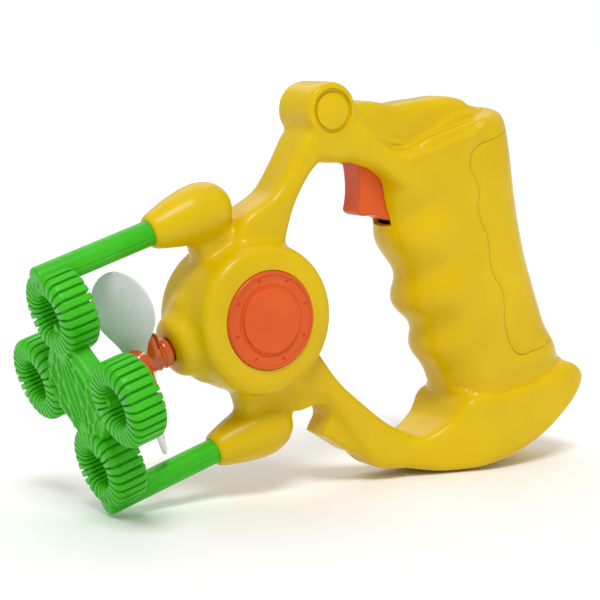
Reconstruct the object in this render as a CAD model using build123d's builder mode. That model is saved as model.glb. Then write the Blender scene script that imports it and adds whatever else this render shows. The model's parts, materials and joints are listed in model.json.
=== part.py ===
from build123d import *
import os
from math import asin, atan2, cos, degrees, hypot, pi, radians, sin, tan

# A hand-held battery bubble blower. It is drawn with the fan's axis along X through the origin,
# blowing towards -X, with the grip towards +X. As it is written out it is turned to stand on its
# sole and on the lower front corner of the wand.

# ---- clearances ----
wall = 2.0                   # thickness of the moulded shells
gap = 0.3                    # between pieces that move apart
snug = 0.05                  # radial clearance of a pin, rod, shaft or screw in its bore

# ---- drum, nose and sockets ----
drum_radius = 28.8           # at the middle
drum_rim = 27.0              # at the faces, less by the moulding's draft
drum_half = 17.5             # half of the drum's width
drum_edge = 5.0
nose_reach = 33.5            # front face of the nose, ahead of the drum's centre
nose_radius = 10.5
nose_root = 21.0
nose_edge = 3.5
socket_deep = 22.0
socket_wall = 1.5
egg_front = 28.0             # mouth of each socket, ahead of the drum's centre
egg_back = 5.8
egg_radius = 10.6
egg_mouth = 6.0
egg_fat_x = -5.0
neck_from = -13.5
neck_to = 2.0               # the upper neck's back; the lower one runs on to neck_low
neck_low = 6.5
neck_half = 6.0

# ---- frame, grip and foot ----
frame_half = 10.0
frame_edge = 4.0
grip_half = 17.0
grip_edge = 10.0
foot_edge = 3.2
boss_x = 51.8                # round boss at the top of the arm
boss_z = 60.6
boss_radius = 10.7
boss_half = 11.0
boss_edge = 1.2
groove_out = 8.1
groove_in = 6.6
groove_deep = 1.6
sole_x = 86.5                # centre and radius of the curved sole
sole_z = -14.2
sole_radius = 78.6
spur_half = 6.5

# ---- wand ----
rod_z = 42.3                 # the rods lie above and below the fan's axis
rod_radius = 4.6
wand_front = 74.0            # front faces of the rings, ahead of the drum's centre
ring_radius = 15.5
ring_hole = 7.0
ring_deep = 13.0
ring_z = 29.0                # centres of the upper and lower rings
ring_y = 30.7                # centres of the side rings
ring_edge = 2.2
web_deep = 8.0
web_rib = 1.4
web_step = 4.6               # from rib to rib
web_tilt = 38.0
web_back = 1.6
web_half = 26.0

# ---- fan and motor ----
rib_thick = 1.6
motor_ribs = (-21.0, -6.0)   # where two ribs of the shells hold the motor
motor_radius = 10.0
motor_flat = 7.6             # half of the can across its flats
motor_front = 24.0           # front of the can, ahead of the drum's centre
motor_length = 23.0
motor_wall = 0.7
motor_cap = 2.5
terminal_y = 4.5
terminal_long = 3.5
terminal_wide = 2.4
terminal_thick = 0.5
magnet_thick = 2.4
magnet_long = 16.0
magnet_from = 2.5            # behind the can's front face
rotor_radius = 5.6
rotor_long = 12.0
rotor_from = 5.5
rotor_slot = 1.6
shaft_radius = 1.0
hub_x = -43.5                # middle of the blades' holders
hub_radius = 5.2
hub_back = -34.5
hub_neck = 3.6
hub_ahead = 7.5              # the domed front, ahead of the holders' middle
hub_rim = 0.6
nose_hole = 4.6
blade_x = -44.0
blade_tip = 36.2
blade_root = 4.0
blade_chord = 25.0
blade_stem = 9.0
blade_thick = 1.0
blade_pitch = 30.0           # from the plane of rotation
holder_chord = 16.0
holder_high = 10.5
holder_thick = 5.0
holder_corner = 3.5

# ---- hub caps on the drum's faces ----
cap_radius = 18.0
cap_proud = 1.6
cap_sunk = 1.2
cap_middle = 12.0
cap_step = 0.6
dimple_ring = 15.0
dimple_radius = 0.8
dimple_count = 8

# ---- trigger and switch ----
trigger_half = 5.5
pivot_x = 63.0
pivot_z = 41.0
pivot_radius = 1.5
pivot_post = 3.2
pin_half = 9.5
trigger_travel = 9.0         # degrees
seat_x = 83.0                # wall behind the trigger that carries its spring and the switch
seat_thick = 1.6
seat_low = 8.0
seat_high = 34.0
slot_low = 10.0              # the opening that the trigger comes out of
slot_high = 46.5
slot_front = 53.0
slot_back = 79.0
trigger_back = 73.8
spring_y = 2.8
spring_z = 24.0
leaf_y = -2.6
leaf_wide = 3.6
spring_radius = 2.2
spring_wire = 0.25          # radius of the wire
leaf_thick = 0.3
leaf_places = (78.6, 80.4)   # faces of the two leaves that the trigger presses together
leaf_low = 11.5
leaf_high = 35.5
base_front = 77.6
base_low = 28.5
base_high = 33.0

# ---- power ----
cell_radius = 7.1
cell_long = 48.5
nub_radius = 2.7
nub_high = 1.6
cell_x = 109.5
cell_bottom = -38.0
tray_wall = 1.5
tray_boss_back = 118.5       # boss below the tray that takes the door's screw
tray_boss_half = 5.0
tray_boss_high = 8.0
door_boss_radius = 4.2
door_seat = 121.6            # underside of the door screw's head
contact_thick = 0.5
contact_spring = 3.0
coil_radius = 3.0            # springs under the cells
coil_wire = 0.3
lead_radius = 0.8

# ---- battery door ----
door_high = 28.5
door_low = -57.2
door_deep = 20.0             # from its seam to the middle of what it spans

# ---- fasteners ----
screw_radius = 1.4
head_radius = 2.8
head_high = 1.8
screw_long = 12.0
post_radius = 3.6
head_seat = 5.0              # from the middle plane to the underside of a screw's head
# where the screws clamp the two shells, as x and z
screw_places = [
    (boss_x, boss_z), (91.0, 22.0), (52.0, -77.5), (112.0, -80.0), (81.0, -46.0), (17.0, -17.0),
]

# worked out from the sizes above
cell_y = cell_radius + 0.15
cell_top = cell_bottom + cell_long
grip_inside = grip_half - wall


def stance():
    """Slope, in degrees, of a floor that touches the lower rod's corner and the curved sole."""
    along = sole_x + wand_front
    up = sole_z + rod_z + rod_radius
    return degrees(asin(sole_radius / hypot(along, up)) - atan2(up, along))


def sole(x):
    """Height of the sole at a distance along the toy."""
    return sole_z - (sole_radius ** 2 - (x - sole_x) ** 2) ** 0.5


def tube(stations, corner, inset):
    """A body through rounded sections, each an x, z, slope, height and half width."""
    with BuildPart() as made:
        for index, (x, z, slope, high, half) in enumerate(stations):
            along, up = cos(radians(slope)), sin(radians(slope))
            push = inset * ((index == 0) - (index == len(stations) - 1))
            middle = (x + push * along, 0, z + push * up)
            with BuildSketch(Plane(origin=middle, x_dir=(0, 1, 0), z_dir=(along, 0, up))):
                RectangleRounded(2 * (half - inset), high - 2 * inset, corner - inset)
        loft()
    return made.part


def beam(rows, corner, inset):
    """A level body through upright sections, each an x, top, bottom and half width."""
    stations = [(x, (top + bottom) / 2, 0, top - bottom, half) for x, top, bottom, half in rows]
    return tube(stations, corner, inset)


def drum(inset):
    with BuildPart() as made:
        with BuildSketch(Plane.XY) as side:
            half = drum_half - inset
            rim = drum_rim - inset
            Polygon((0, -half), (rim, -half), (drum_radius - inset, 0), (rim, half), (0, half), align=None)
            corners = [corner for corner in side.vertices() if abs(corner.X - rim) < wall / 10]
            fillet(corners, drum_edge - inset)
        revolve(axis=Axis.Y)
    return made.part


def nose(inset):
    front = -nose_reach + inset
    with BuildPart() as made:
        with BuildSketch(Plane.XY) as side:
            Polygon(
                (0, 0), (0, nose_root - inset), (-drum_radius * 0.7, nose_root - inset),
                (front, nose_radius - inset), (front, 0), align=None,
            )
            fillet(side.vertices().group_by(Axis.X)[0].sort_by(Axis.Y)[-1], nose_edge - inset)
        revolve(axis=Axis.X)
    return made.part


def egg(side, inset):
    """One rod socket, fat at the back and narrow at its mouth."""
    level = side * rod_z
    front = -egg_front
    neck_end = neck_to if side > 0 else neck_low
    with BuildPart() as made:
        with BuildSketch(Plane.XY.offset(level)):
            with BuildLine():
                Line((egg_back - inset, 0), (front, 0))
                Line((front, 0), (front, egg_mouth - inset))
                Spline(
                    (front, egg_mouth - inset),
                    (egg_fat_x - 12, egg_radius - inset - 1.2),
                    (egg_fat_x, egg_radius - inset),
                    (egg_back - inset, 0),
                    tangents=[(1, 0.5), (0, -1)],
                )
            make_face()
        revolve(axis=Axis((0, 0, level), (1, 0, 0)))
        with BuildSketch(Plane.XY.offset(side * drum_radius * 0.8)):
            with Locations(((neck_from + neck_end) / 2, 0)):
                RectangleRounded(neck_end - neck_from - 2 * inset, 2 * (neck_half - inset), 3.5 - inset)
        extrude(amount=side * (rod_z - drum_radius * 0.8 - 2))
    return made.part


def boss(inset):
    with BuildPart() as made:
        with BuildSketch(Plane.XZ):
            with Locations((boss_x, boss_z)):
                Circle(boss_radius - inset)
        extrude(amount=boss_half - inset, both=True)
        if not inset:
            fillet(made.edges().filter_by(GeomType.CIRCLE), boss_edge)
            for face in (-1, 1):
                with BuildSketch(Plane.XZ.offset(face * boss_half)):
                    with Locations((boss_x, boss_z)):
                        Circle(groove_out)
                        Circle(groove_in, mode=Mode.SUBTRACT)
                extrude(amount=-face * groove_deep, mode=Mode.SUBTRACT)
    return made.part


def grip(inset):
    """The handle, through level sections that swell between the fingers."""
    rows = [
        # height, front, back, half width
        (37.0, 76.0, 125.0, grip_half - 2.5),
        (33.0, 71.5, 128.3, grip_half - 0.6),
        (20.0, 70.0, 127.2, grip_half),
        (5.0, 66.0, 124.8, grip_half),
        (-9.0, 69.2, 123.2, grip_half),
        (-22.0, 66.4, 122.5, grip_half),
        (-32.0, 70.0, 122.8, grip_half),
        (-42.0, 69.0, 123.3, grip_half),
        (-52.0, 72.8, 124.2, grip_half),
        (-62.0, 73.8, 127.0, grip_half),
        (-76.0, 77.0, 127.5, grip_half - 1.5),
    ]
    with BuildPart() as made:
        for index, (height, front, back, half) in enumerate(rows):
            height += inset * ((index == len(rows) - 1) - (index == 0))
            with BuildSketch(Plane.XY.offset(height)):
                with Locations(((front + back) / 2, 0)):
                    RectangleRounded(back - front - 2 * inset, 2 * (half - inset), grip_edge - inset)
        loft()
    return made.part


def foot(inset):
    rows = [
        # x, top, bottom, half width
        (46.0, -69.5, sole(46.0), frame_half + 0.5),
        (56.0, -71.0, sole(56.0), grip_half - 4),
        (66.0, -68.5, sole(66.0), grip_half - 1.8),
        (75.0, -63.0, sole(75.0), grip_half + 1),
        (88.0, -65.5, sole(88.0), grip_half + 2),
        (104.0, -68.3, sole(104.0), grip_half + 2),
        (118.0, -69.3, sole(118.0), grip_half + 1.5),
        (127.0, -69.6, sole(127.0), grip_half + 0.5),
        (132.0, -71.5, sole(132.0), grip_half - 1.5),
    ]
    return beam(rows, foot_edge, inset)


def arm(inset):
    stations = [
        (3.0, 14.0, 62, 22.0, frame_half),
        (12.1, 27.9, 46, 21.0, frame_half),
        (24.0, 36.2, 44, 10.5, frame_half),
        (34.4, 44.8, 44, 9.6, frame_half),
        (43.0, 50.6, 37, 13.0, frame_half),
        (50.0, 54.0, 30, 13.0, frame_half),
    ]
    return tube(stations, frame_edge, inset)


def bar(inset):
    stations = [
        (44.0, 51.5, 0, 17.0, frame_half - 0.5),
        (54.0, 51.0, -8, 22.0, frame_half),
        (66.0, 48.0, -15, 22.0, frame_half - 1),
        (80.0, 43.4, -15, 22.6, frame_half - 1.5),
        (96.0, 39.2, -5, 20.4, frame_half - 1.5),
        (110.0, 35.8, -3, 18.0, frame_half - 1.5),
        (120.5, 33.3, -28, 12.0, frame_half - 2.5),
    ]
    return tube(stations, frame_edge, inset)


def shoulder(inset):
    rows = [
        (56.0, 56.0, 39.0, frame_half - 0.2),
        (64.0, 48.5, 33.0, grip_half - 4.5),
        (72.0, 39.0, 22.0, grip_half - 2),
        (84.0, 35.5, 12.0, grip_half - 0.2),
    ]
    return beam(rows, frame_edge, inset)


def lower_arm(inset):
    stations = [
        (6.0, -16.0, -60, 26.0, frame_half),
        (20.8, -36.5, -57, 10.5, frame_half),
        (28.0, -51.0, -50, 12.5, frame_half),
        (36.8, -67.2, -38, 17.5, frame_half),
        (48.6, -77.0, -24, 16.0, frame_half + 0.5),
    ]
    return tube(stations, frame_edge, inset)


def spur():
    with BuildPart() as made:
        with BuildSketch(Plane.XZ):
            with BuildLine():
                Polyline((33, -72.5), (24, -65), (14.2, -53.4), (16.2, -51.2))
                ThreePointArc((16.2, -51.2), (19.9, -46.0), (15.0, -41.5))
                Polyline((15.0, -41.5), (7, -41), (7, -27), (19, -27), (33, -55), (33, -72.5))
            make_face()
        extrude(amount=spur_half, both=True)
    return made.part


def body(inset):
    """Outer volume of the housing, or with an inset the volume inside its walls."""
    with BuildPart() as made:
        add(drum(inset))
        add(nose(inset))
        add(arm(inset))
        add(bar(inset))
        add(shoulder(inset))
        add(grip(inset))
        add(foot(inset))
        add(lower_arm(inset))
        add(boss(inset))
        for side in (-1, 1):
            add(egg(side, inset))
        if not inset:
            add(spur())
    return made.part


def block(x, y, z):
    """A box between two values along each axis, made on its own."""
    return Pos(x[0], y[0], z[0]) * Box(
        x[1] - x[0], y[1] - y[0], z[1] - z[0], align=(Align.MIN, Align.MIN, Align.MIN), mode=Mode.PRIVATE
    )


def round_bar(start, direction, radius, length):
    """A cylinder from a point along an axis, made on its own."""
    return Plane(origin=start, z_dir=direction) * Cylinder(
        radius, length, align=(Align.CENTER, Align.CENTER, Align.MIN), mode=Mode.PRIVATE
    )


outer = body(0)
inner = body(wall)

# ---- battery door: the back of the grip, parted from the shells along a wavy seam ----


def door_region(room):
    """What the door takes of the grip, grown all round by some room."""
    middle_z = (door_low + door_high) / 2
    taller = 1 + room / (door_high - middle_z)
    wider = 1 + room / door_deep
    seam = [
        (110, door_high), (104.5, 27.6), (101.4, 24), (101, 19), (102.4, 13), (99.4, 4.5), (101, -5),
        (99, -19), (101.6, -30), (98.8, -44), (99.4, -52), (103, -56.2), (109, door_low),
    ]
    middle_x = seam[0][0] + door_deep / 2
    grown = [(middle_x + (x - middle_x) * wider, middle_z + (z - middle_z) * taller) for x, z in seam]
    back = middle_x + door_deep
    with BuildPart() as made:
        with BuildSketch(Plane.XZ):
            with BuildLine():
                Spline(*grown)
                Polyline(grown[-1], (back, grown[-1][1]), (back, grown[0][1]), grown[0])
            make_face()
        extrude(amount=grip_half + 5, both=True)
    return made.part


def motor_shape(room):
    """The motor's outer form, a round bar with two flats, grown by some room."""
    bar_form = round_bar((-motor_front - room, 0, 0), (1, 0, 0), motor_radius + room, motor_length + 2 * room)
    flats = block((-100, 100), (-motor_flat - room, motor_flat + room), (-100, 100))
    return bar_form & flats


# ---- inside of the housing: its hollow, less the ribs, sockets and posts that stand in it ----

with BuildPart() as hollow:
    add(inner)
    for level in (-rod_z, rod_z):
        start = (-egg_front - 1, 0, level)
        add(round_bar(start, (1, 0, 0), rod_radius + snug + socket_wall, socket_deep + 3), mode=Mode.SUBTRACT)
    for x in motor_ribs:
        rib = block((x, x + rib_thick), (-drum_half, drum_half), (-drum_rim, drum_rim))
        add(rib - motor_shape(snug), mode=Mode.SUBTRACT)
    seat = block((seat_x, seat_x + seat_thick), (-grip_half, grip_half), (seat_low, seat_high))
    add(seat, mode=Mode.SUBTRACT)
    for face in (-1, 1):
        start = (pivot_x, face * (trigger_half + gap), pivot_z)
        add(round_bar(start, (0, face, 0), pivot_post, grip_half), mode=Mode.SUBTRACT)
    for x, z in screw_places:
        add(round_bar((x, -drum_half - 3, z), (0, 1, 0), post_radius, 2 * drum_half + 6), mode=Mode.SUBTRACT)

with BuildPart() as cuts:
    # the ways through the walls: nose, sockets, trigger, caps, pin and screws
    add(round_bar((-nose_reach - 1, 0, 0), (1, 0, 0), nose_hole, wall + 3))
    for level in (-rod_z, rod_z):
        add(round_bar((-egg_front - 1, 0, level), (1, 0, 0), rod_radius + snug, socket_deep + 1))
    slot_half = trigger_half + gap
    add(block((slot_front, slot_back), (-slot_half, slot_half), (slot_low, slot_high)))
    for face in (-1, 1):
        add(round_bar((0, face * (drum_half - cap_sunk), 0), (0, face, 0), cap_radius + snug, 5))
    pin_room = pin_half + snug
    add(round_bar((pivot_x, -pin_room, pivot_z), (0, 1, 0), pivot_radius + snug, 2 * pin_room))
    for x, z in screw_places:
        bottom = screw_long - head_seat + gap
        add(round_bar((x, -bottom, z), (0, 1, 0), screw_radius + snug, bottom + head_seat + 1))
        add(round_bar((x, head_seat, z), (0, 1, 0), head_radius + gap, drum_half + 5))
    add(door_region(gap))

shell_form = outer - hollow.part - cuts.part

far_out = 300.0              # beyond the whole toy

with BuildPart() as left_shell:
    add(shell_form)
    add(block((-far_out, far_out), (-far_out, 0), (-far_out, far_out)), mode=Mode.INTERSECT)

with BuildPart() as right_shell:
    add(shell_form)
    add(block((-far_out, far_out), (0, far_out), (-far_out, far_out)), mode=Mode.INTERSECT)

# the door's screw goes through a boss inside the door into the battery tray's lower boss
tray_front = cell_x - cell_radius - gap - tray_wall
tray_back = cell_x + 4
low_contact = cell_bottom - contact_spring
tray_low = low_contact - contact_thick - tray_wall
door_screw_z = tray_low - tray_boss_high / 2
door_boss = round_bar((tray_boss_back + gap, 0, door_screw_z), (1, 0, 0), door_boss_radius, 2 * wall)

with BuildPart() as battery_door:
    add(outer)
    add(inner - door_boss, mode=Mode.SUBTRACT)
    add(door_region(0), mode=Mode.INTERSECT)
    for start, radius in ((tray_boss_back, screw_radius + snug), (door_seat, head_radius + gap)):
        add(round_bar((start, 0, door_screw_z), (1, 0, 0), radius, grip_half), mode=Mode.SUBTRACT)

with BuildPart() as door_screw:
    add(round_bar((door_seat, 0, door_screw_z), (-1, 0, 0), screw_radius, screw_long))
    add(round_bar((door_seat, 0, door_screw_z), (1, 0, 0), head_radius, head_high))

# ---- caps on the drum's faces ----


def hub_cap(face):
    inside = drum_half - cap_sunk
    with BuildPart() as made:
        with BuildSketch(Plane.XZ.offset(-face * inside)):
            Circle(cap_radius)
        extrude(amount=-face * (cap_sunk + cap_proud - cap_step))
        with BuildSketch(Plane.XZ.offset(-face * (drum_half + cap_proud - cap_step))):
            Circle(cap_middle)
        extrude(amount=-face * cap_step)
        with BuildSketch(Plane.XZ.offset(-face * (drum_half + cap_proud - cap_step))):
            with PolarLocations(dimple_ring, dimple_count, start_angle=180 / dimple_count):
                Circle(dimple_radius)
        extrude(amount=face * cap_step, mode=Mode.SUBTRACT)
    return made


left_hub_cap = hub_cap(-1)
right_hub_cap = hub_cap(1)

# ---- motor ----

with BuildPart() as motor_can:
    add(motor_shape(0))
    inside_flat = motor_flat - motor_wall
    core = round_bar((-motor_front + motor_wall, 0, 0), (1, 0, 0), motor_radius - motor_wall, motor_length)
    flats = block((-motor_front, far_out), (-inside_flat, inside_flat), (-motor_radius, motor_radius))
    add(core & flats, mode=Mode.SUBTRACT)
    mouth = round_bar((-motor_front - 1, 0, 0), (1, 0, 0), shaft_radius + snug, motor_wall + 2)
    add(mouth, mode=Mode.SUBTRACT)

motor_back = motor_length - motor_front
with BuildPart() as motor_end_cap:
    with BuildSketch(Plane.YZ.offset(motor_back)):
        Circle(motor_radius)
        Rectangle(2 * motor_flat, 3 * motor_radius, mode=Mode.INTERSECT)
        Circle(shaft_radius + snug, mode=Mode.SUBTRACT)
    extrude(amount=motor_cap)

with BuildPart() as motor_terminals:
    with BuildSketch(Plane.YZ.offset(motor_back + motor_cap)):
        with Locations((-terminal_y, 0), (terminal_y, 0)):
            Rectangle(terminal_thick, terminal_wide)
    extrude(amount=terminal_long)

with BuildPart() as motor_magnets:
    with BuildSketch(Plane.YZ.offset(-motor_front + magnet_from)):
        Circle(motor_radius - motor_wall - snug)
        Circle(motor_radius - motor_wall - magnet_thick, mode=Mode.SUBTRACT)
        Rectangle(2 * (motor_flat - 2 * motor_wall), 3 * motor_radius, mode=Mode.INTERSECT)
    extrude(amount=magnet_long)

with BuildPart() as motor_rotor:
    with BuildSketch(Plane.YZ.offset(-motor_front + rotor_from)):
        Circle(rotor_radius)
        Circle(shaft_radius + snug, mode=Mode.SUBTRACT)
        with PolarLocations(rotor_radius, 3, start_angle=90):
            Rectangle(rotor_radius, rotor_slot, mode=Mode.SUBTRACT)
    extrude(amount=rotor_long)

hub_nose = hub_x - hub_ahead
with BuildPart() as motor_shaft:
    with BuildSketch(Plane.YZ.offset(hub_nose + 2)):
        Circle(shaft_radius)
    extrude(amount=motor_back + motor_cap - hub_nose - 2 - gap)

# ---- fan ----


def blade_plane(side):
    """Plane of one blade: along it is the chord, up it is the radius."""
    across, along = cos(radians(blade_pitch)), sin(radians(blade_pitch))
    return Plane(origin=(blade_x, 0, 0), x_dir=(along, -side * across, 0), z_dir=(-across, -side * along, 0))


def blade(side):
    """One clear blade, its root held in the hub."""
    half = blade_chord / 2
    stem = blade_stem / 2
    with BuildPart() as made:
        with BuildSketch(blade_plane(side)):
            with BuildLine():
                Line((-stem, blade_root), (stem, blade_root))
                Spline(
                    (stem, blade_root), (stem + 2.5, 9.5), (half - 1, 16), (half, 23), (half * 0.72, 31.5),
                    (0, blade_tip), (-half * 0.72, 31.5), (-half, 23), (-half + 1, 16), (-stem - 2.5, 9.5),
                    (-stem, blade_root),
                )
            make_face()
        extrude(amount=blade_thick / 2, both=True)
    return made


fan_blade_1 = blade(1)
fan_blade_2 = blade(-1)

with BuildPart() as fan_hub:
    with BuildSketch(Plane.XZ):
        with BuildLine():
            Polyline(
                (hub_nose, 0), (-nose_reach + wall, 0), (-nose_reach + wall, hub_neck), (hub_back, hub_neck),
                (hub_back, hub_radius + hub_rim), (hub_back - 2.5, hub_radius + hub_rim),
                (hub_back - 3.2, hub_radius), (hub_nose + hub_radius, hub_radius),
            )
            half_way = (hub_nose + hub_radius * (1 - cos(pi / 4)), hub_radius * sin(pi / 4))
            ThreePointArc((hub_nose + hub_radius, hub_radius), half_way, (hub_nose, 0))
        make_face()
    revolve(axis=Axis.X)
    for side in (1, -1):
        holder = Plane(origin=(hub_x, 0, 0), x_dir=blade_plane(side).x_dir, z_dir=blade_plane(side).z_dir)
        with BuildSketch(holder):
            with Locations((0, holder_high / 2)):
                RectangleRounded(holder_chord, holder_high, holder_corner)
        extrude(amount=holder_thick / 2, both=True)
    add(round_bar((hub_nose + 2 - gap, 0, 0), (1, 0, 0), shaft_radius + snug, 30), mode=Mode.SUBTRACT)
    for side in (1, -1):
        # the slit that grips the blade's root
        with BuildSketch(blade_plane(side)):
            with Locations((0, blade_root - snug + holder_high / 2)):
                Rectangle(2 * holder_chord, holder_high)
        extrude(amount=blade_thick / 2 + snug, both=True, mode=Mode.SUBTRACT)

# ---- trigger, its pin, spring and switch ----

with BuildPart() as trigger:
    with BuildSketch(Plane.XZ):
        with BuildLine():
            Spline((55.5, 42.5), (56.0, 38), (54.8, 31), (52.2, 25), (48.6, 20.2))
            Spline((48.6, 20.2), (49.5, 18.8), (56, 16.8), (63, 13.9), (68, 11.6), (72.5, 12.4))
            Polyline(
                (72.5, 12.4), (trigger_back, 15), (trigger_back, 34), (70, 42), (66, 45.2), (58, 45.2),
                (55.5, 42.5),
            )
        make_face()
        with Locations((pivot_x, pivot_z)):
            Circle(pivot_radius + snug, mode=Mode.SUBTRACT)
    extrude(amount=trigger_half, both=True)

with BuildPart() as trigger_pin:
    with BuildSketch(Plane.XZ):
        with Locations((pivot_x, pivot_z)):
            Circle(pivot_radius)
    extrude(amount=pin_half, both=True)


def coil(start, direction, radius, wire, length, turns):
    """A coil spring whose wire's ends stay within its length."""
    rise = length - 2 * wire
    plane = Plane(origin=start, z_dir=direction)
    with BuildPart(plane) as made:
        with BuildLine(plane.offset(wire)) as path:
            Helix(rise / turns, rise, radius - wire, direction=direction)
        with BuildSketch(Plane(origin=path.line @ 0, z_dir=path.line % 0)):
            Circle(wire)
        sweep(path=path.line, is_frenet=True)
    return made.part


spring_room = seat_x - trigger_back - 2 * snug
with BuildPart() as trigger_spring:
    spring_start = (trigger_back + snug, spring_y, spring_z)
    add(coil(spring_start, (1, 0, 0), spring_radius, spring_wire, spring_room, 5))

with BuildPart() as switch_leaves:
    with BuildSketch(Plane.XY.offset(leaf_low)):
        for x in leaf_places:
            with Locations((x + leaf_thick / 2, leaf_y)):
                Rectangle(leaf_thick, leaf_wide)
    extrude(amount=leaf_high - leaf_low)

with BuildPart() as switch_base:
    base_half = leaf_wide / 2 + 1
    add(block((base_front, seat_x), (leaf_y - base_half, leaf_y + base_half), (base_low, base_high)))
    leaf_sides = (leaf_y - leaf_wide / 2 - snug, leaf_y + leaf_wide / 2 + snug)
    for x in leaf_places:
        slit = block((x - snug, x + leaf_thick + snug), leaf_sides, (leaf_low, leaf_high))
        add(slit, mode=Mode.SUBTRACT)

# ---- power ----

high_contact = cell_top + nub_high
tray_half = grip_inside - gap
with BuildPart() as battery_tray:
    top = high_contact + contact_thick + tray_wall
    add(block((tray_front, tray_back), (-tray_half, tray_half), (tray_low, top)))
    bay = (tray_front + tray_wall, far_out)
    add(block(bay, (-grip_half, grip_half), (tray_low + tray_wall, top - tray_wall)), mode=Mode.SUBTRACT)
    boss_rows = (tray_low - tray_boss_high, tray_low)
    add(block((tray_front, tray_boss_back), (-tray_boss_half, tray_boss_half), boss_rows))
    bore_start = (door_seat - screw_long - gap, 0, door_screw_z)
    add(round_bar(bore_start, (1, 0, 0), screw_radius + snug, screw_long), mode=Mode.SUBTRACT)


def cell(side):
    """One AA cell, its terminal up on the left and down on the right."""
    up = 1 if side < 0 else -1
    start = cell_bottom if up > 0 else low_contact + nub_high + cell_long
    with BuildPart() as made:
        add(round_bar((cell_x, side * cell_y, start), (0, 0, up), cell_radius, cell_long))
        add(round_bar((cell_x, side * cell_y, start + up * cell_long), (0, 0, up), nub_radius, nub_high))
    return made


battery_cell_1 = cell(-1)
battery_cell_2 = cell(1)

with BuildPart() as battery_contacts:
    plate_half = cell_radius * 0.8
    for side in (-1, 1):
        places = (side * cell_y - plate_half, side * cell_y + plate_half)
        add(block((tray_front + tray_wall, tray_back), places, (high_contact, high_contact + contact_thick)))
    add(
        block((tray_front + tray_wall, tray_back), (-cell_y - plate_half, cell_y + plate_half),
              (low_contact - contact_thick, low_contact))
    )

with BuildPart() as battery_springs:
    add(coil((cell_x, -cell_y, low_contact), (0, 0, 1), coil_radius, coil_wire, contact_spring, 3))
    top_start = low_contact + nub_high + cell_long
    add(coil((cell_x, cell_y, top_start), (0, 0, 1), coil_radius, coil_wire, high_contact - top_start, 3))

# ---- leads ----


def lead(points):
    """A lead along straight runs, rounded at each corner as far as its runs allow."""
    runs = [Vector(*end) - Vector(*start) for start, end in zip(points, points[1:])]
    radii = []
    for before, after in zip(runs, runs[1:]):
        turn = radians(before.get_angle(after))
        radii.append(0.45 * min(before.length, after.length) / tan(turn / 2))
    print("lead radii", [round(radius, 1) for radius in radii])
    with BuildPart() as made:
        with BuildLine() as path:
            FilletPolyline(*points, radius=radii)
        with BuildSketch(Plane(origin=path.line @ 0, z_dir=path.line % 0)):
            Circle(lead_radius)
        sweep(path=path.line)
    long = sum(edge.length for edge in path.edges())
    ratio = made.part.volume / (pi * lead_radius ** 2 * long)
    print("lead length", round(long, 1), "volume ratio", round(ratio, 4))
    return made


over_tray = high_contact + contact_thick + tray_wall + lead_radius
red_lead = lead([
    (106, 4.5, over_tray + 0.2), (103, 4.5, 22), (98, 3, 30), (91, 0, 36.5), (85, -2, 37.6),
    (80.6, leaf_y, 36.4),
])
black_lead = lead([
    (106, -4.5, over_tray + 0.2), (103, -4.5, 24), (98, -3, 34), (88, -2, 42), (74, -3, 48.5), (60, -3, 51.5),
    (46, -3, 51), (34, -3, 44.5), (23, -3, 34), (14, -4, 22), (9.5, -4.5, 10), (5.8, -4.5, 0.5),
])
blue_lead = lead([
    (78.7, leaf_y + 0.5, 36), (77.5, 0, 42), (71, 3, 48.5), (60, 3, 51), (46, 3, 51), (34, 3, 44.5),
    (23, 3, 34), (14, 4, 22), (9.5, 4.5, 10), (5.8, 4.5, 0.5),
])

# ---- wand ----

rod_end = -egg_front + socket_deep - gap


def wand_rod(side):
    with BuildPart() as made:
        with BuildSketch(Plane.YZ.offset(-wand_front)):
            with Locations((0, side * rod_z)):
                Circle(rod_radius)
        extrude(amount=rod_end + wand_front)
        chamfer(made.faces().sort_by(Axis.X)[-1].edges(), 0.6)
    return made


def wand_ring(y, z):
    """One bubble ring, notched where a rod passes it."""
    with BuildPart() as made:
        with BuildSketch(Plane.XY.offset(z)):
            with Locations((-wand_front + ring_deep / 2, y + (ring_radius + ring_hole) / 2)):
                RectangleRounded(ring_deep, ring_radius - ring_hole, ring_edge)
        revolve(axis=Axis((0, y, z), (1, 0, 0)))
        for level in (-rod_z, rod_z):
            add(round_bar((-wand_front - 1, 0, level), (1, 0, 0), rod_radius, 60), mode=Mode.SUBTRACT)
    return made


wand_rod_top = wand_rod(1)
wand_rod_bottom = wand_rod(-1)
wand_ring_top = wand_ring(0, ring_z)
wand_ring_bottom = wand_ring(0, -ring_z)
wand_ring_near = wand_ring(-ring_y, 0)
wand_ring_far = wand_ring(ring_y, 0)

with BuildPart() as wand_web:
    web_front = -wand_front + (ring_deep - web_deep) / 2
    with BuildSketch(Plane.YZ.offset(web_front)):
        for tilt in (-web_tilt, web_tilt):
            with Locations(Rot(0, 0, tilt)):
                with GridLocations(1, web_step, 1, 9):
                    Rectangle(4 * web_half, web_rib)
        Polygon((-web_half, 0), (0, web_half), (web_half, 0), (0, -web_half), mode=Mode.INTERSECT)
    extrude(amount=web_deep - web_back)
    with BuildSketch(Plane.YZ.offset(web_front + web_deep - web_back)):
        Polygon((-web_half, 0), (0, web_half), (web_half, 0), (0, -web_half))
    extrude(amount=web_back)
    for y, z in ((0, ring_z), (0, -ring_z), (-ring_y, 0), (ring_y, 0)):
        add(round_bar((-wand_front - 1, y, z), (1, 0, 0), ring_radius, 60), mode=Mode.SUBTRACT)

# ---- screws ----

with BuildPart() as case_screws:
    for x, z in screw_places:
        add(round_bar((x, head_seat - screw_long, z), (0, 1, 0), screw_radius, screw_long))
        add(round_bar((x, head_seat, z), (0, 1, 0), head_radius, head_high))

# ---- written out, each piece turned to the resting pose ----

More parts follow.
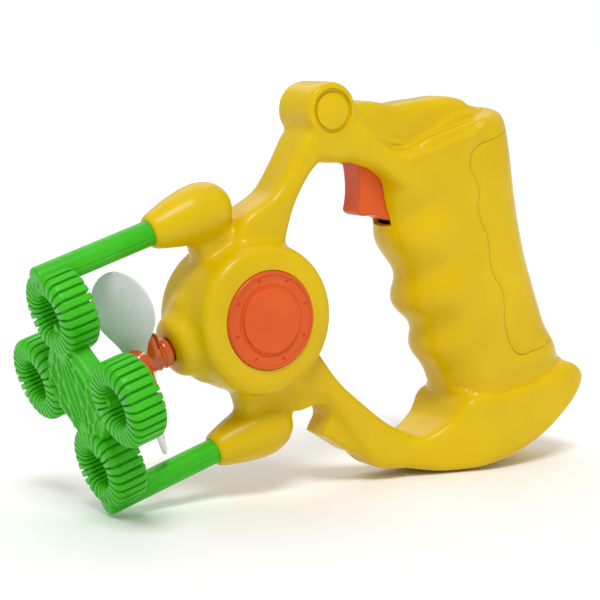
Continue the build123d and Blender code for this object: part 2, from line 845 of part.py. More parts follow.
pieces = {
    "left_shell": left_shell, "right_shell": right_shell, "battery_door": battery_door,
    "left_hub_cap": left_hub_cap, "right_hub_cap": right_hub_cap, "motor_can": motor_can,
    "motor_end_cap": motor_end_cap, "motor_terminals": motor_terminals,
    "motor_magnets": motor_magnets, "motor_rotor": motor_rotor, "motor_shaft": motor_shaft,
    "fan_hub": fan_hub, "fan_blade_1": fan_blade_1, "fan_blade_2": fan_blade_2, "trigger": trigger,
    "trigger_pin": trigger_pin, "trigger_spring": trigger_spring, "switch_leaves": switch_leaves,
    "switch_base": switch_base, "battery_tray": battery_tray, "door_screw": door_screw,
    "battery_cell_1": battery_cell_1, "battery_cell_2": battery_cell_2,
    "battery_contacts": battery_contacts, "battery_springs": battery_springs, "red_lead": red_lead,
    "black_lead": black_lead, "blue_lead": blue_lead, "wand_rod_top": wand_rod_top,
    "wand_rod_bottom": wand_rod_bottom, "wand_ring_top": wand_ring_top,
    "wand_ring_bottom": wand_ring_bottom, "wand_ring_near": wand_ring_near,
    "wand_ring_far": wand_ring_far, "wand_web": wand_web, "case_screws": case_screws,
}
turn = Rot(0, -stance(), 0)
turned = {name: turn * piece.part for name, piece in pieces.items()}
boxes = [piece.bounding_box() for piece in turned.values()]
middle_x = (min(box.min.X for box in boxes) + max(box.max.X for box in boxes)) / 2
place = Pos(-middle_x, 0, -min(box.min.Z for box in boxes))
print("stance", stance(), "moved by", place.position)

os.makedirs("parts", exist_ok=True)
for name, piece in turned.items():
    finished = place * piece
    finished.label = name
    export_step(finished, "parts/" + name + ".step")
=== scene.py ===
"""Looks of a hand-held bubble blower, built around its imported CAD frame.

Pieces are modelled in the toy's own frame, in millimetres: the fan's axis runs along X through the
origin, the rings point to -X, the grip is at +X and the left shell is at -Y. Each finished mesh is
then turned and moved to where the toy stands, in metres.
"""
import json
import logging
import math
from dataclasses import dataclass, field
from enum import Enum
from typing import Callable, Iterable, Optional, Sequence

import bmesh
import bpy
import numpy as np
from mathutils import Matrix, Vector


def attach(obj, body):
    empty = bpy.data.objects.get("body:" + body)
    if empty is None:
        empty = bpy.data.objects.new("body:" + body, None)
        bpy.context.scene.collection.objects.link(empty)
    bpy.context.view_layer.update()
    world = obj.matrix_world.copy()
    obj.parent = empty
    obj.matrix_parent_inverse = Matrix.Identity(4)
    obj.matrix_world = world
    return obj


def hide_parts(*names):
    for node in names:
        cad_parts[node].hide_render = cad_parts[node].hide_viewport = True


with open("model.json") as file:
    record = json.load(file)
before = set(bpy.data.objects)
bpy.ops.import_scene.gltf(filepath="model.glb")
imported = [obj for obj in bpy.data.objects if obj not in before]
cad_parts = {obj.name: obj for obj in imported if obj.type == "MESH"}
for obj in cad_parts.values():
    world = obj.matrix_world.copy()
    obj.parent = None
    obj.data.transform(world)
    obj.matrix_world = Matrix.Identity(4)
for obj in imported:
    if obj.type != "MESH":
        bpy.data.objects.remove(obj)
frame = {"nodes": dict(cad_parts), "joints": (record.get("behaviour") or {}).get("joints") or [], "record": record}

logging.basicConfig(level=logging.INFO, format="%(message)s")
log = logging.getLogger("bubble_blower")

MM = 0.001
CAD_SLIVER = 0.01
Station = tuple[float, float, float, float, float]
Point = tuple[float, float, float]
Flat = tuple[float, float]


class Along(Enum):
    """The axes that a round piece can be turned about."""

    X = (1.0, 0.0, 0.0)
    Y = (0.0, 1.0, 0.0)


# ---- the toy's own frame, taken from the CAD ----


def toy_matrix() -> Matrix:
    """Gives the matrix from the toy's own frame in millimetres to the standing toy in metres.

    Returns:
        The matrix, from the fan joint's axis and the drum's side face.
    """
    record = frame["record"]
    face = next(mount for mount in record["mounts"] if mount["name"] == "side_face")
    spin = next(joint for joint in frame["joints"] if joint["name"] == "fan_spin")
    back = Vector(spin["axis"])
    tilt = math.atan2(back.z, back.x)
    centre = Vector((face["pos_m"][0], 0.0, face["pos_m"][2]))
    return Matrix.Translation(centre) @ Matrix.Rotation(-tilt, 4, "Y") @ Matrix.Scale(MM, 4)


TOY = toy_matrix()


# ---- modelling helpers ----


def deselect() -> None:
    """Deselects every object."""
    for thing in bpy.context.selected_objects:
        thing.select_set(False)


def activate(piece: bpy.types.Object) -> None:
    """Makes one object the only selected one, and the active one.

    Args:
        piece: The object.
    """
    deselect()
    piece.select_set(True)
    bpy.context.view_layer.objects.active = piece


def adopt(name: str) -> bpy.types.Object:
    """Names the object that an operator has just made.

    Args:
        name: Its name.

    Returns:
        The object.
    """
    piece = bpy.context.object
    piece.name = name
    piece.data.name = name
    return piece


def apply_modifier(piece: bpy.types.Object, kind: str, **settings: object) -> None:
    """Adds a modifier to a piece and applies it.

    Args:
        piece: The piece.
        kind: The modifier's type.
        settings: Its properties.
    """
    activate(piece)
    modifier = piece.modifiers.new(kind.lower(), kind)
    for key, value in settings.items():
        setattr(modifier, key, value)
    bpy.ops.object.modifier_apply(modifier=modifier.name)


def edit_all(piece: bpy.types.Object, work: Callable[[], object]) -> None:
    """Runs an operator in edit mode with everything selected.

    Args:
        piece: The piece.
        work: What to run.
    """
    activate(piece)
    bpy.ops.object.mode_set(mode="EDIT")
    bpy.ops.mesh.select_all(action="SELECT")
    work()
    bpy.ops.object.mode_set(mode="OBJECT")


def outward(piece: bpy.types.Object, distance: float = 0.001) -> None:
    """Merges a piece's doubles and turns its faces outwards.

    Args:
        piece: The piece.
        distance: How near two points are to be one.
    """
    edit_all(piece, lambda: bpy.ops.mesh.remove_doubles(threshold=distance))
    edit_all(piece, lambda: bpy.ops.mesh.normals_make_consistent(inside=False))


def points_of(piece: bpy.types.Object) -> np.ndarray:
    """Reads a mesh's points.

    Args:
        piece: The piece.

    Returns:
        An array of one row a point.
    """
    flat = np.empty(len(piece.data.vertices) * 3)
    piece.data.vertices.foreach_get("co", flat)
    return flat.reshape(-1, 3)


def normals_of(piece: bpy.types.Object) -> np.ndarray:
    """Reads the normals of a mesh's points.

    Args:
        piece: The piece.

    Returns:
        An array of one row a point.
    """
    flat = np.empty(len(piece.data.vertices) * 3)
    piece.data.vertex_normals.foreach_get("vector", flat)
    return flat.reshape(-1, 3)


def move_points(piece: bpy.types.Object, places: np.ndarray) -> None:
    """Writes a mesh's points.

    Args:
        piece: The piece.
        places: An array of one row a point.
    """
    piece.data.vertices.foreach_set("co", places.ravel())
    piece.data.update()


def join(name: str, pieces: list[bpy.types.Object]) -> bpy.types.Object:
    """Joins several objects into one.

    Args:
        name: The name of the joined object.
        pieces: The objects.

    Returns:
        The joined object.
    """
    activate(pieces[0])
    for piece in pieces[1:]:
        piece.select_set(True)
    bpy.ops.object.join()
    return adopt(name)


def carve(piece: bpy.types.Object, tool: bpy.types.Object, operation: str = "DIFFERENCE") -> None:
    """Cuts one closed mesh with another, or joins them, and removes the other.

    Args:
        piece: What is cut.
        tool: What it is cut with.
        operation: The boolean's operation.
    """
    apply_modifier(piece, "BOOLEAN", object=tool, operation=operation, solver="MANIFOLD")
    bpy.data.objects.remove(tool, do_unlink=True)


def clone(piece: bpy.types.Object, name: str) -> bpy.types.Object:
    """Copies an object with a mesh of its own.

    Args:
        piece: The object.
        name: The copy's name.

    Returns:
        The copy.
    """
    copy = piece.copy()
    copy.data = piece.data.copy()
    copy.name = name
    copy.data.name = name
    copy.parent = None
    bpy.context.scene.collection.objects.link(copy)
    return copy


def cad_copy(node: str, name: str, place: Matrix) -> bpy.types.Object:
    """Copies a CAD node's mesh, merged and with its flat faces whole.

    Args:
        node: The CAD node.
        name: The copy's name.
        place: The matrix that brings it into the toy's own frame.

    Returns:
        The copy.
    """
    piece = clone(frame["nodes"][node], name)
    piece.data.transform(place)
    outward(piece, CAD_SLIVER)
    edit_all(piece, lambda: bpy.ops.mesh.dissolve_limited(angle_limit=math.radians(1.0)))
    return piece


def loft(name: str, stations: Iterable[Station], corner: float, sides: int = 48) -> bpy.types.Object:
    """Extrudes a rounded section from station to station along the toy's middle plane.

    Args:
        name: The object's name.
        stations: Each an x, a z, a slope in degrees, a height and a half width.
        corner: Radius of the section's corners.
        sides: Points round the section.

    Returns:
        A closed object.
    """
    deselect()
    bpy.ops.mesh.primitive_circle_add(vertices=sides, radius=1.0, fill_type="NGON", location=(0, 0, 0))
    piece = adopt(name)
    seat = piece.data.attributes.new("seat", "INT", "POINT")
    seat.data.foreach_set("value", list(range(sides)))
    activate(piece)
    bpy.ops.object.mode_set(mode="EDIT")
    bpy.ops.mesh.select_all(action="SELECT")
    for number, (x, z, slope, high, half) in enumerate(stations):
        if number:
            bpy.ops.mesh.extrude_region_move()
        mesh = bmesh.from_edit_mesh(piece.data)
        layer = mesh.verts.layers.int["seat"]
        up = Vector((-math.sin(math.radians(slope)), 0.0, math.cos(math.radians(slope))))
        for point in (point for point in mesh.verts if point.select):
            across, tall = rounded_corner(2 * math.pi * point[layer] / sides, half, high / 2, corner)
            point.co = Vector((x, across, z)) + up * tall
        bmesh.update_edit_mesh(piece.data)
    bpy.ops.object.mode_set(mode="OBJECT")
    outward(piece)
    return piece


def rounded_corner(angle: float, half_wide: float, half_high: float, corner: float) -> tuple[float, float]:
    """Places a point on a rounded rectangle.

    Args:
        angle: Where on it, in radians.
        half_wide: Half of its width.
        half_high: Half of its height.
        corner: Radius of its corners.

    Returns:
        The point across and up.
    """
    radius = min(corner, half_wide - 0.01, half_high - 0.01)
    flat_wide, flat_high = half_wide - radius, half_high - radius
    turn = angle % (math.pi / 2)
    quarter = int(angle // (math.pi / 2)) % 4
    share = turn / (math.pi / 2)
    arc = radius * math.pi / 2
    long_wide, long_high = (flat_high, flat_wide) if quarter % 2 else (flat_wide, flat_high)
    run = share * (long_high + arc + long_wide)
    if run < long_high:
        near, far = radius + long_wide, run
    elif run < long_high + arc:
        bend = (run - long_high) / radius if radius else 0.0
        near = long_wide + radius * math.cos(bend)
        far = long_high + radius * math.sin(bend)
    else:
        near, far = long_wide - (run - long_high - arc), long_high + radius
    turned = [(near, far), (-far, near), (-near, -far), (far, -near)]
    return turned[quarter]


def smooth_stations(rows: list[Station], cuts: int = 5) -> list[Station]:
    """Puts more stations between some, on a smooth curve through them.

    Args:
        rows: The stations.
        cuts: How many steps go between each two.

    Returns:
        The longer list.
    """
    table = np.array(rows)
    padded = np.vstack([2 * table[0] - table[1], table, 2 * table[-1] - table[-2]])
    result = []
    for index in range(1, len(table)):
        before, start, end, after = padded[index - 1:index + 3]
        for step in range(cuts):
            t = step / cuts
            bend = (end - before) * t + (2 * before - 5 * start + 4 * end - after) * t ** 2
            bend += (3 * start - before - 3 * end + after) * t ** 3
            result.append(tuple(start + bend / 2))
    result.append(tuple(table[-1]))
    return result


def turned_piece(
    name: str, outline: Sequence[Flat], axis: Along, centre: Point = (0, 0, 0), steps: int = 96
) -> bpy.types.Object:
    """Spins an outline into a closed round piece.

    Args:
        name: The object's name.
        outline: Points along the axis and out from it, the first and last on it.
        axis: The axis that it is spun about.
        centre: A point on that axis.
        steps: Faces round it.

    Returns:
        The object.
    """
    deselect()
    bpy.ops.mesh.primitive_circle_add(vertices=3, radius=1.0, location=(0, 0, 0))
    piece = adopt(name)
    activate(piece)
    middle = Vector(centre)
    bpy.ops.object.mode_set(mode="EDIT")
    mesh = bmesh.from_edit_mesh(piece.data)
    bmesh.ops.delete(mesh, geom=mesh.verts[:], context="VERTS")
    chain = []
    for along, out in outline:
        offset = Vector((along, 0, out)) if axis is Along.X else Vector((out, along, 0))
        chain.append(mesh.verts.new(middle + offset))
    for first, second in zip(chain, chain[1:]):
        mesh.edges.new((first, second))
    for point in mesh.verts:
        point.select_set(True)
    mesh.select_flush(True)
    bmesh.update_edit_mesh(piece.data)
    bpy.ops.mesh.select_all(action="SELECT")
    bpy.ops.mesh.spin(steps=steps, angle=2 * math.pi, center=middle, axis=axis.value)
    bpy.ops.object.mode_set(mode="OBJECT")
    outward(piece, 0.002)
    return piece


def rounded_outline(corners: Sequence[Point], steps: int = 6) -> list[Flat]:
    """Rounds the corners of an outline with short arcs.

    Args:
        corners: Each a place along, a place out and the corner's rounding.
        steps: Points on each rounded corner.

    Returns:
        The outline's points.
    """
    result = []
    for index, (along, out, rounding) in enumerate(corners):
        here = Vector((along, out))
        if not rounding or index in (0, len(corners) - 1):
            result.append((along, out))
            continue
        before = (Vector(corners[index - 1][:2]) - here).normalized()
        after = (Vector(corners[index + 1][:2]) - here).normalized()
        start, end = here + before * rounding, here + after * rounding
        for step in range(steps + 1):
            t = step / steps
            point = start * (1 - t) ** 2 + here * 2 * t * (1 - t) + end * t ** 2
            result.append((point.x, point.y))
    return result


def box_piece(name: str, low: Point, high: Point) -> bpy.types.Object:
    """Makes a box between two corners, for cutting with.

    Args:
        name: Its name.
        low: Its lowest corner.
        high: Its highest corner.

    Returns:
        The object.
    """
    deselect()
    middle = [(first + second) / 2 for first, second in zip(low, high)]
    bpy.ops.mesh.primitive_cube_add(size=1.0, location=(0, 0, 0))
    piece = adopt(name)
    size = [second - first for first, second in zip(low, high)]
    piece.data.transform(Matrix.Translation(middle) @ Matrix.Diagonal((*size, 1.0)))
    return piece


def rod_piece(
    name: str, start: Point, axis: Along, radius: float, length: float, steps: int = 64
) -> bpy.types.Object:
    """Makes a plain round bar, for cutting with.

    Args:
        name: Its name.
        start: Middle of its first end.
        axis: The axis that it lies along.
        radius: Its radius.
        length: Its length.
        steps: Faces round it.

    Returns:
        The object.
    """
    return turned_piece(name, [(0, 0), (0, radius), (length, radius), (length, 0)], axis, start, steps)


def slab(name: str, outline: list[Flat], half: float) -> bpy.types.Object:
    """Extrudes an outline in the toy's middle plane to both sides, for cutting with.

    Args:
        name: Its name.
        outline: Points as x and z.
        half: Half of its width.

    Returns:
        The object.
    """
    deselect()
    bpy.ops.mesh.primitive_circle_add(vertices=len(outline), radius=1.0, fill_type="NGON", location=(0, 0, 0))
    piece = adopt(name)
    for point, (x, z) in zip(piece.data.vertices, outline):
        point.co = (x, -half, z)
    move = {"value": (0, 2 * half, 0)}
    edit_all(piece, lambda: bpy.ops.mesh.extrude_region_move(TRANSFORM_OT_translate=move))
    outward(piece)
    return piece


def finish_piece(
    piece: bpy.types.Object,
    body: str,
    finish: bpy.types.Material,
    replaces: tuple[str, ...] = (),
    crease: float = 40.0,
) -> bpy.types.Object:
    """Puts a finished piece in its place on the standing toy and dresses it.

    Args:
        piece: The piece, in the toy's own frame.
        body: The CAD body that it moves with.
        finish: Its material.
        replaces: CAD nodes that it stands for.
        crease: Edges sharper than this, in degrees, stay sharp.

    Returns:
        The piece.
    """
    piece.data.transform(TOY)
    piece.data.materials.clear()
    piece.data.materials.append(finish)
    activate(piece)
    bpy.ops.object.shade_smooth_by_angle(angle=math.radians(crease))
    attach(piece, body)
    if replaces:
        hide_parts(*replaces)
    log.info("piece %s: %d faces, rides on %s", piece.name, len(piece.data.polygons), body)
    return piece


# ---- materials ----


def linear(colour: str) -> tuple[float, float, float, float]:
    """Turns an sRGB hex colour to linear light.

    Args:
        colour: Six hex digits.

    Returns:
        Red, green, blue and a full alpha.
    """
    parts = [int(colour[index:index + 2], 16) / 255 for index in (0, 2, 4)]
    light = [part / 12.92 if part <= 0.04045 else ((part + 0.055) / 1.055) ** 2.4 for part in parts]
    return (light[0], light[1], light[2], 1.0)


def add_node(
    material: bpy.types.Material,
    kind: str,
    values: Optional[dict] = None,
    links: Optional[dict] = None,
    **settings: object,
) -> bpy.types.Node:
    """Adds a shader node with its settings, values and incoming links.

    Args:
        material: The material.
        kind: The node's type.
        values: Values of its input sockets.
        links: Output sockets that its input sockets are fed from.
        settings: Its properties.

    Returns:
        The node.
    """
    node = material.node_tree.nodes.new(kind)
    for key, value in settings.items():
        setattr(node, key, value)
    for key, value in (values or {}).items():
        node.inputs[key].default_value = value
    for key, source in (links or {}).items():
        material.node_tree.links.new(source, node.inputs[key])
    return node


class Finish:
    """What every finish shares: how its material starts and how it ends."""

    name: str

    def begin(self) -> tuple[bpy.types.Material, bpy.types.NodeSocket]:
        """Makes an empty material.

        Returns:
            The material and its Object coordinates.
        """
        material = bpy.data.materials.new(self.name)
        material.use_nodes = True
        material.node_tree.nodes.clear()
        return material, add_node(material, "ShaderNodeTexCoord").outputs["Object"]

    def end(
        self,
        material: bpy.types.Material,
        values: dict,
        links: dict,
        rough_by: bpy.types.NodeSocket,
        rough: tuple[float, float],
        height: bpy.types.NodeSocket,
        bump: tuple[float, float],
    ) -> bpy.types.Material:
        """Adds the roughness, the bump, the shader and the output.

        Args:
            material: The material.
            values: Values of the shader's own sockets.
            links: Sockets that its others are fed from.
            rough_by: What the roughness follows.
            rough: The lowest and highest roughness.
            height: What the bump follows.
            bump: The bump's strength and its height in millimetres.

        Returns:
            The material.
        """
        spread = add_node(
            material, "ShaderNodeMapRange", {"To Min": rough[0], "To Max": rough[1]}, {"Value": rough_by}
        )
        raised = add_node(
            material, "ShaderNodeBump", {"Strength": bump[0], "Distance": bump[1] * MM}, {"Height": height}
        )
        links = {**links, "Roughness": spread.outputs["Result"], "Normal": raised.outputs["Normal"]}
        shader = add_node(material, "ShaderNodeBsdfPrincipled", values, links)
        add_node(material, "ShaderNodeOutputMaterial", links={"Surface": shader.outputs["BSDF"]})
        return material


@dataclass(frozen=True)
class MouldedPlastic(Finish):
    """A plastic moulded in a polished or grained steel tool.

    Attributes:
        name: The material's name.
        colour: Its colour.
        shade: Its colour where the resin lies thicker and reads deeper.
        roughness: How matt it is.
        clouding: Size of the faint uneven patches, in millimetres.
        grain: Size of the tool's grain, in millimetres, drawn about ten times too coarse so that it shows.
        depth: Height of that grain, in millimetres.
        sheen_coat: Strength of the skin's clear gloss.
        shine: Strength of its own gloss, a half being plain plastic.
    """

    name: str
    colour: str
    shade: str
    roughness: float = 0.3
    clouding: float = 28.0
    grain: float = 0.9
    depth: float = 0.01
    sheen_coat: float = 0.0
    shine: float = 0.3

    def make(self) -> bpy.types.Material:
        """Builds the material, its patches and grain on Object coordinates.

        Returns:
            The material.
        """
        material, place = self.begin()
        cloud = add_node(
            material, "ShaderNodeTexNoise", {"Scale": 1 / (self.clouding * MM), "Detail": 3.0},
            {"Vector": place},
        ).outputs["Fac"]
        ramp = add_node(material, "ShaderNodeValToRGB", links={"Fac": cloud})
        for stop, position, colour in zip(ramp.color_ramp.elements, (0.35, 0.65), (self.shade, self.colour)):
            stop.position = position
            stop.color = linear(colour)
        grain = add_node(
            material, "ShaderNodeTexNoise", {"Scale": 1 / (self.grain * MM), "Detail": 2.0}, {"Vector": place}
        ).outputs["Fac"]
        values = {
            "IOR": 1.5, "Specular IOR Level": self.shine,
            "Coat Weight": self.sheen_coat, "Coat Roughness": 0.08,
        }
        rough = (self.roughness * 0.85, self.roughness * 1.15)
        links = {"Base Color": ramp.outputs["Color"]}
        return self.end(material, values, links, cloud, rough, grain, (0.35, self.depth))


@dataclass(frozen=True)
class ClearSheet(Finish):
    """Thin clear vinyl, die-cut from a calendered sheet: milky, with faint streaks from the rollers."""

    name: str = "calendered_clear_vinyl"
    colour: str = "F2F2F5"
    streak: float = 6.0

    def make(self) -> bpy.types.Material:
        """Builds the material.

        Returns:
            The material.
        """
        material, place = self.begin()
        stretched = add_node(material, "ShaderNodeMapping", {"Scale": (1.0, 1.0, 0.15)}, {"Vector": place})
        streaks = add_node(
            material, "ShaderNodeTexNoise", {"Scale": 1 / (self.streak * MM), "Detail": 4.0},
            {"Vector": stretched.outputs["Vector"]},
        ).outputs["Fac"]
        values = {"Base Color": linear(self.colour), "IOR": 1.53, "Transmission Weight": 0.22}
        return self.end(material, values, {}, streaks, (0.12, 0.38), streaks, (0.4, 0.05))


@dataclass(frozen=True)
class Metal(Finish):
    """A bare or plated metal, with fine lines left by drawing or rolling.

    Attributes:
        name: The material's name.
        colour: Its colour.
        roughness: How matt it is.
        lines: Spacing of the lines, in millimetres.
        stretch: How the lines run, as a scale of each axis.
        metallic: One for a metal, less for a sintered one.
    """

    name: str
    colour: str
    roughness: float = 0.3
    lines: float = 0.4
    stretch: Point = (0.05, 1.0, 1.0)
    metallic: float = 1.0

    def make(self) -> bpy.types.Material:
        """Builds the material.

        Returns:
            The material.
        """
        material, place = self.begin()
        stretched = add_node(material, "ShaderNodeMapping", {"Scale": self.stretch}, {"Vector": place})
        lines = add_node(
            material, "ShaderNodeTexNoise", {"Scale": 1 / (self.lines * MM), "Detail": 3.0},
            {"Vector": stretched.outputs["Vector"]},
        ).outputs["Fac"]
        values = {"Base Color": linear(self.colour), "Metallic": self.metallic}
        rough = (self.roughness * 0.7, self.roughness * 1.3)
        return self.end(material, values, {}, lines, rough, lines, (0.3, 0.01))


# ---- the yellow housing ----


def neighbours(piece: bpy.types.Object) -> tuple[np.ndarray, np.ndarray]:
    """Lists the edges of a mesh and how many meet at each point.

    Args:
        piece: The piece.

    Returns:
        The pairs of points, and the count at each point.
    """
    pairs = np.empty(len(piece.data.edges) * 2, dtype=np.int64)
    piece.data.edges.foreach_get("vertices", pairs)
    pairs = pairs.reshape(-1, 2)
    return pairs, np.maximum(np.bincount(pairs.ravel(), minlength=len(piece.data.vertices)), 1)


def averaged(values: np.ndarray, pairs: np.ndarray, counts: np.ndarray) -> np.ndarray:
    """Averages each point's neighbours.

    Args:
        values: A row for each point.
        pairs: The mesh's edges.
        counts: How many edges meet at each point.

    Returns:
        The averages.
    """
    total = np.zeros_like(values)
    for column in range(values.shape[1]):
        for first, second in ((0, 1), (1, 0)):
            total[:, column] += np.bincount(pairs[:, first], values[pairs[:, second], column], len(values))
    return total / counts[:, None]


def relax(piece: bpy.types.Object, rounds: int, share: Optional[np.ndarray] = None) -> None:
    """Smooths a mesh by moving points towards their neighbours.

    Args:
        piece: The piece.
        rounds: How many times.
        share: How far each point may go, from 0 to 1.
    """
    pairs, counts = neighbours(piece)
    places = points_of(piece)
    weight = 0.5 if share is None else 0.5 * share[:, None]
    for _ in range(rounds):
        places = places + weight * (averaged(places, pairs, counts) - places)
    move_points(piece, places)


def hollow_share(piece: bpy.types.Object, sharp: float, spread: int) -> np.ndarray:
    """Finds where a mesh turns inwards, as where two forms meet.

    Args:
        piece: The piece.
        sharp: How far a point lies inside its neighbours' average there, in millimetres.
        spread: How many points further the share reaches.

    Returns:
        A share from 0 to 1 for each point.
    """
    pairs, counts = neighbours(piece)
    places = points_of(piece)
    inside = np.einsum("ij,ij->i", averaged(places, pairs, counts) - places, normals_of(piece))
    share = np.clip(inside / sharp, 0, 1)[:, None]
    for _ in range(spread):
        share = np.maximum(share, averaged(share, pairs, counts) * 1.02)
    return np.clip(share[:, 0] * 1.6, 0, 1)


def smooth_step(low: float, high: float, value: np.ndarray) -> np.ndarray:
    """Rises softly from 0 to 1.

    Args:
        low: Where it starts.
        high: Where it ends.
        value: What it is read at.

    Returns:
        The share.
    """
    share = np.clip((value - low) / (high - low), 0, 1)
    return share * share * (3 - 2 * share)


def line_gap(x: np.ndarray, z: np.ndarray, line: Iterable[Flat]) -> np.ndarray:
    """Measures how far points are from a broken line in the toy's middle plane.

    Args:
        x: How far along the toy each point is.
        z: How far up it is.
        line: The line's corners.

    Returns:
        The distances.
    """
    corners = np.array(list(line), dtype=float)
    nearest = np.full(len(x), np.inf)
    for (start_x, start_z), (end_x, end_z) in zip(corners, corners[1:]):
        run_x, run_z = end_x - start_x, end_z - start_z
        share = np.clip(((x - start_x) * run_x + (z - start_z) * run_z) / (run_x ** 2 + run_z ** 2), 0, 1)
        nearest = np.minimum(nearest, np.hypot(x - start_x - share * run_x, z - start_z - share * run_z))
    return nearest


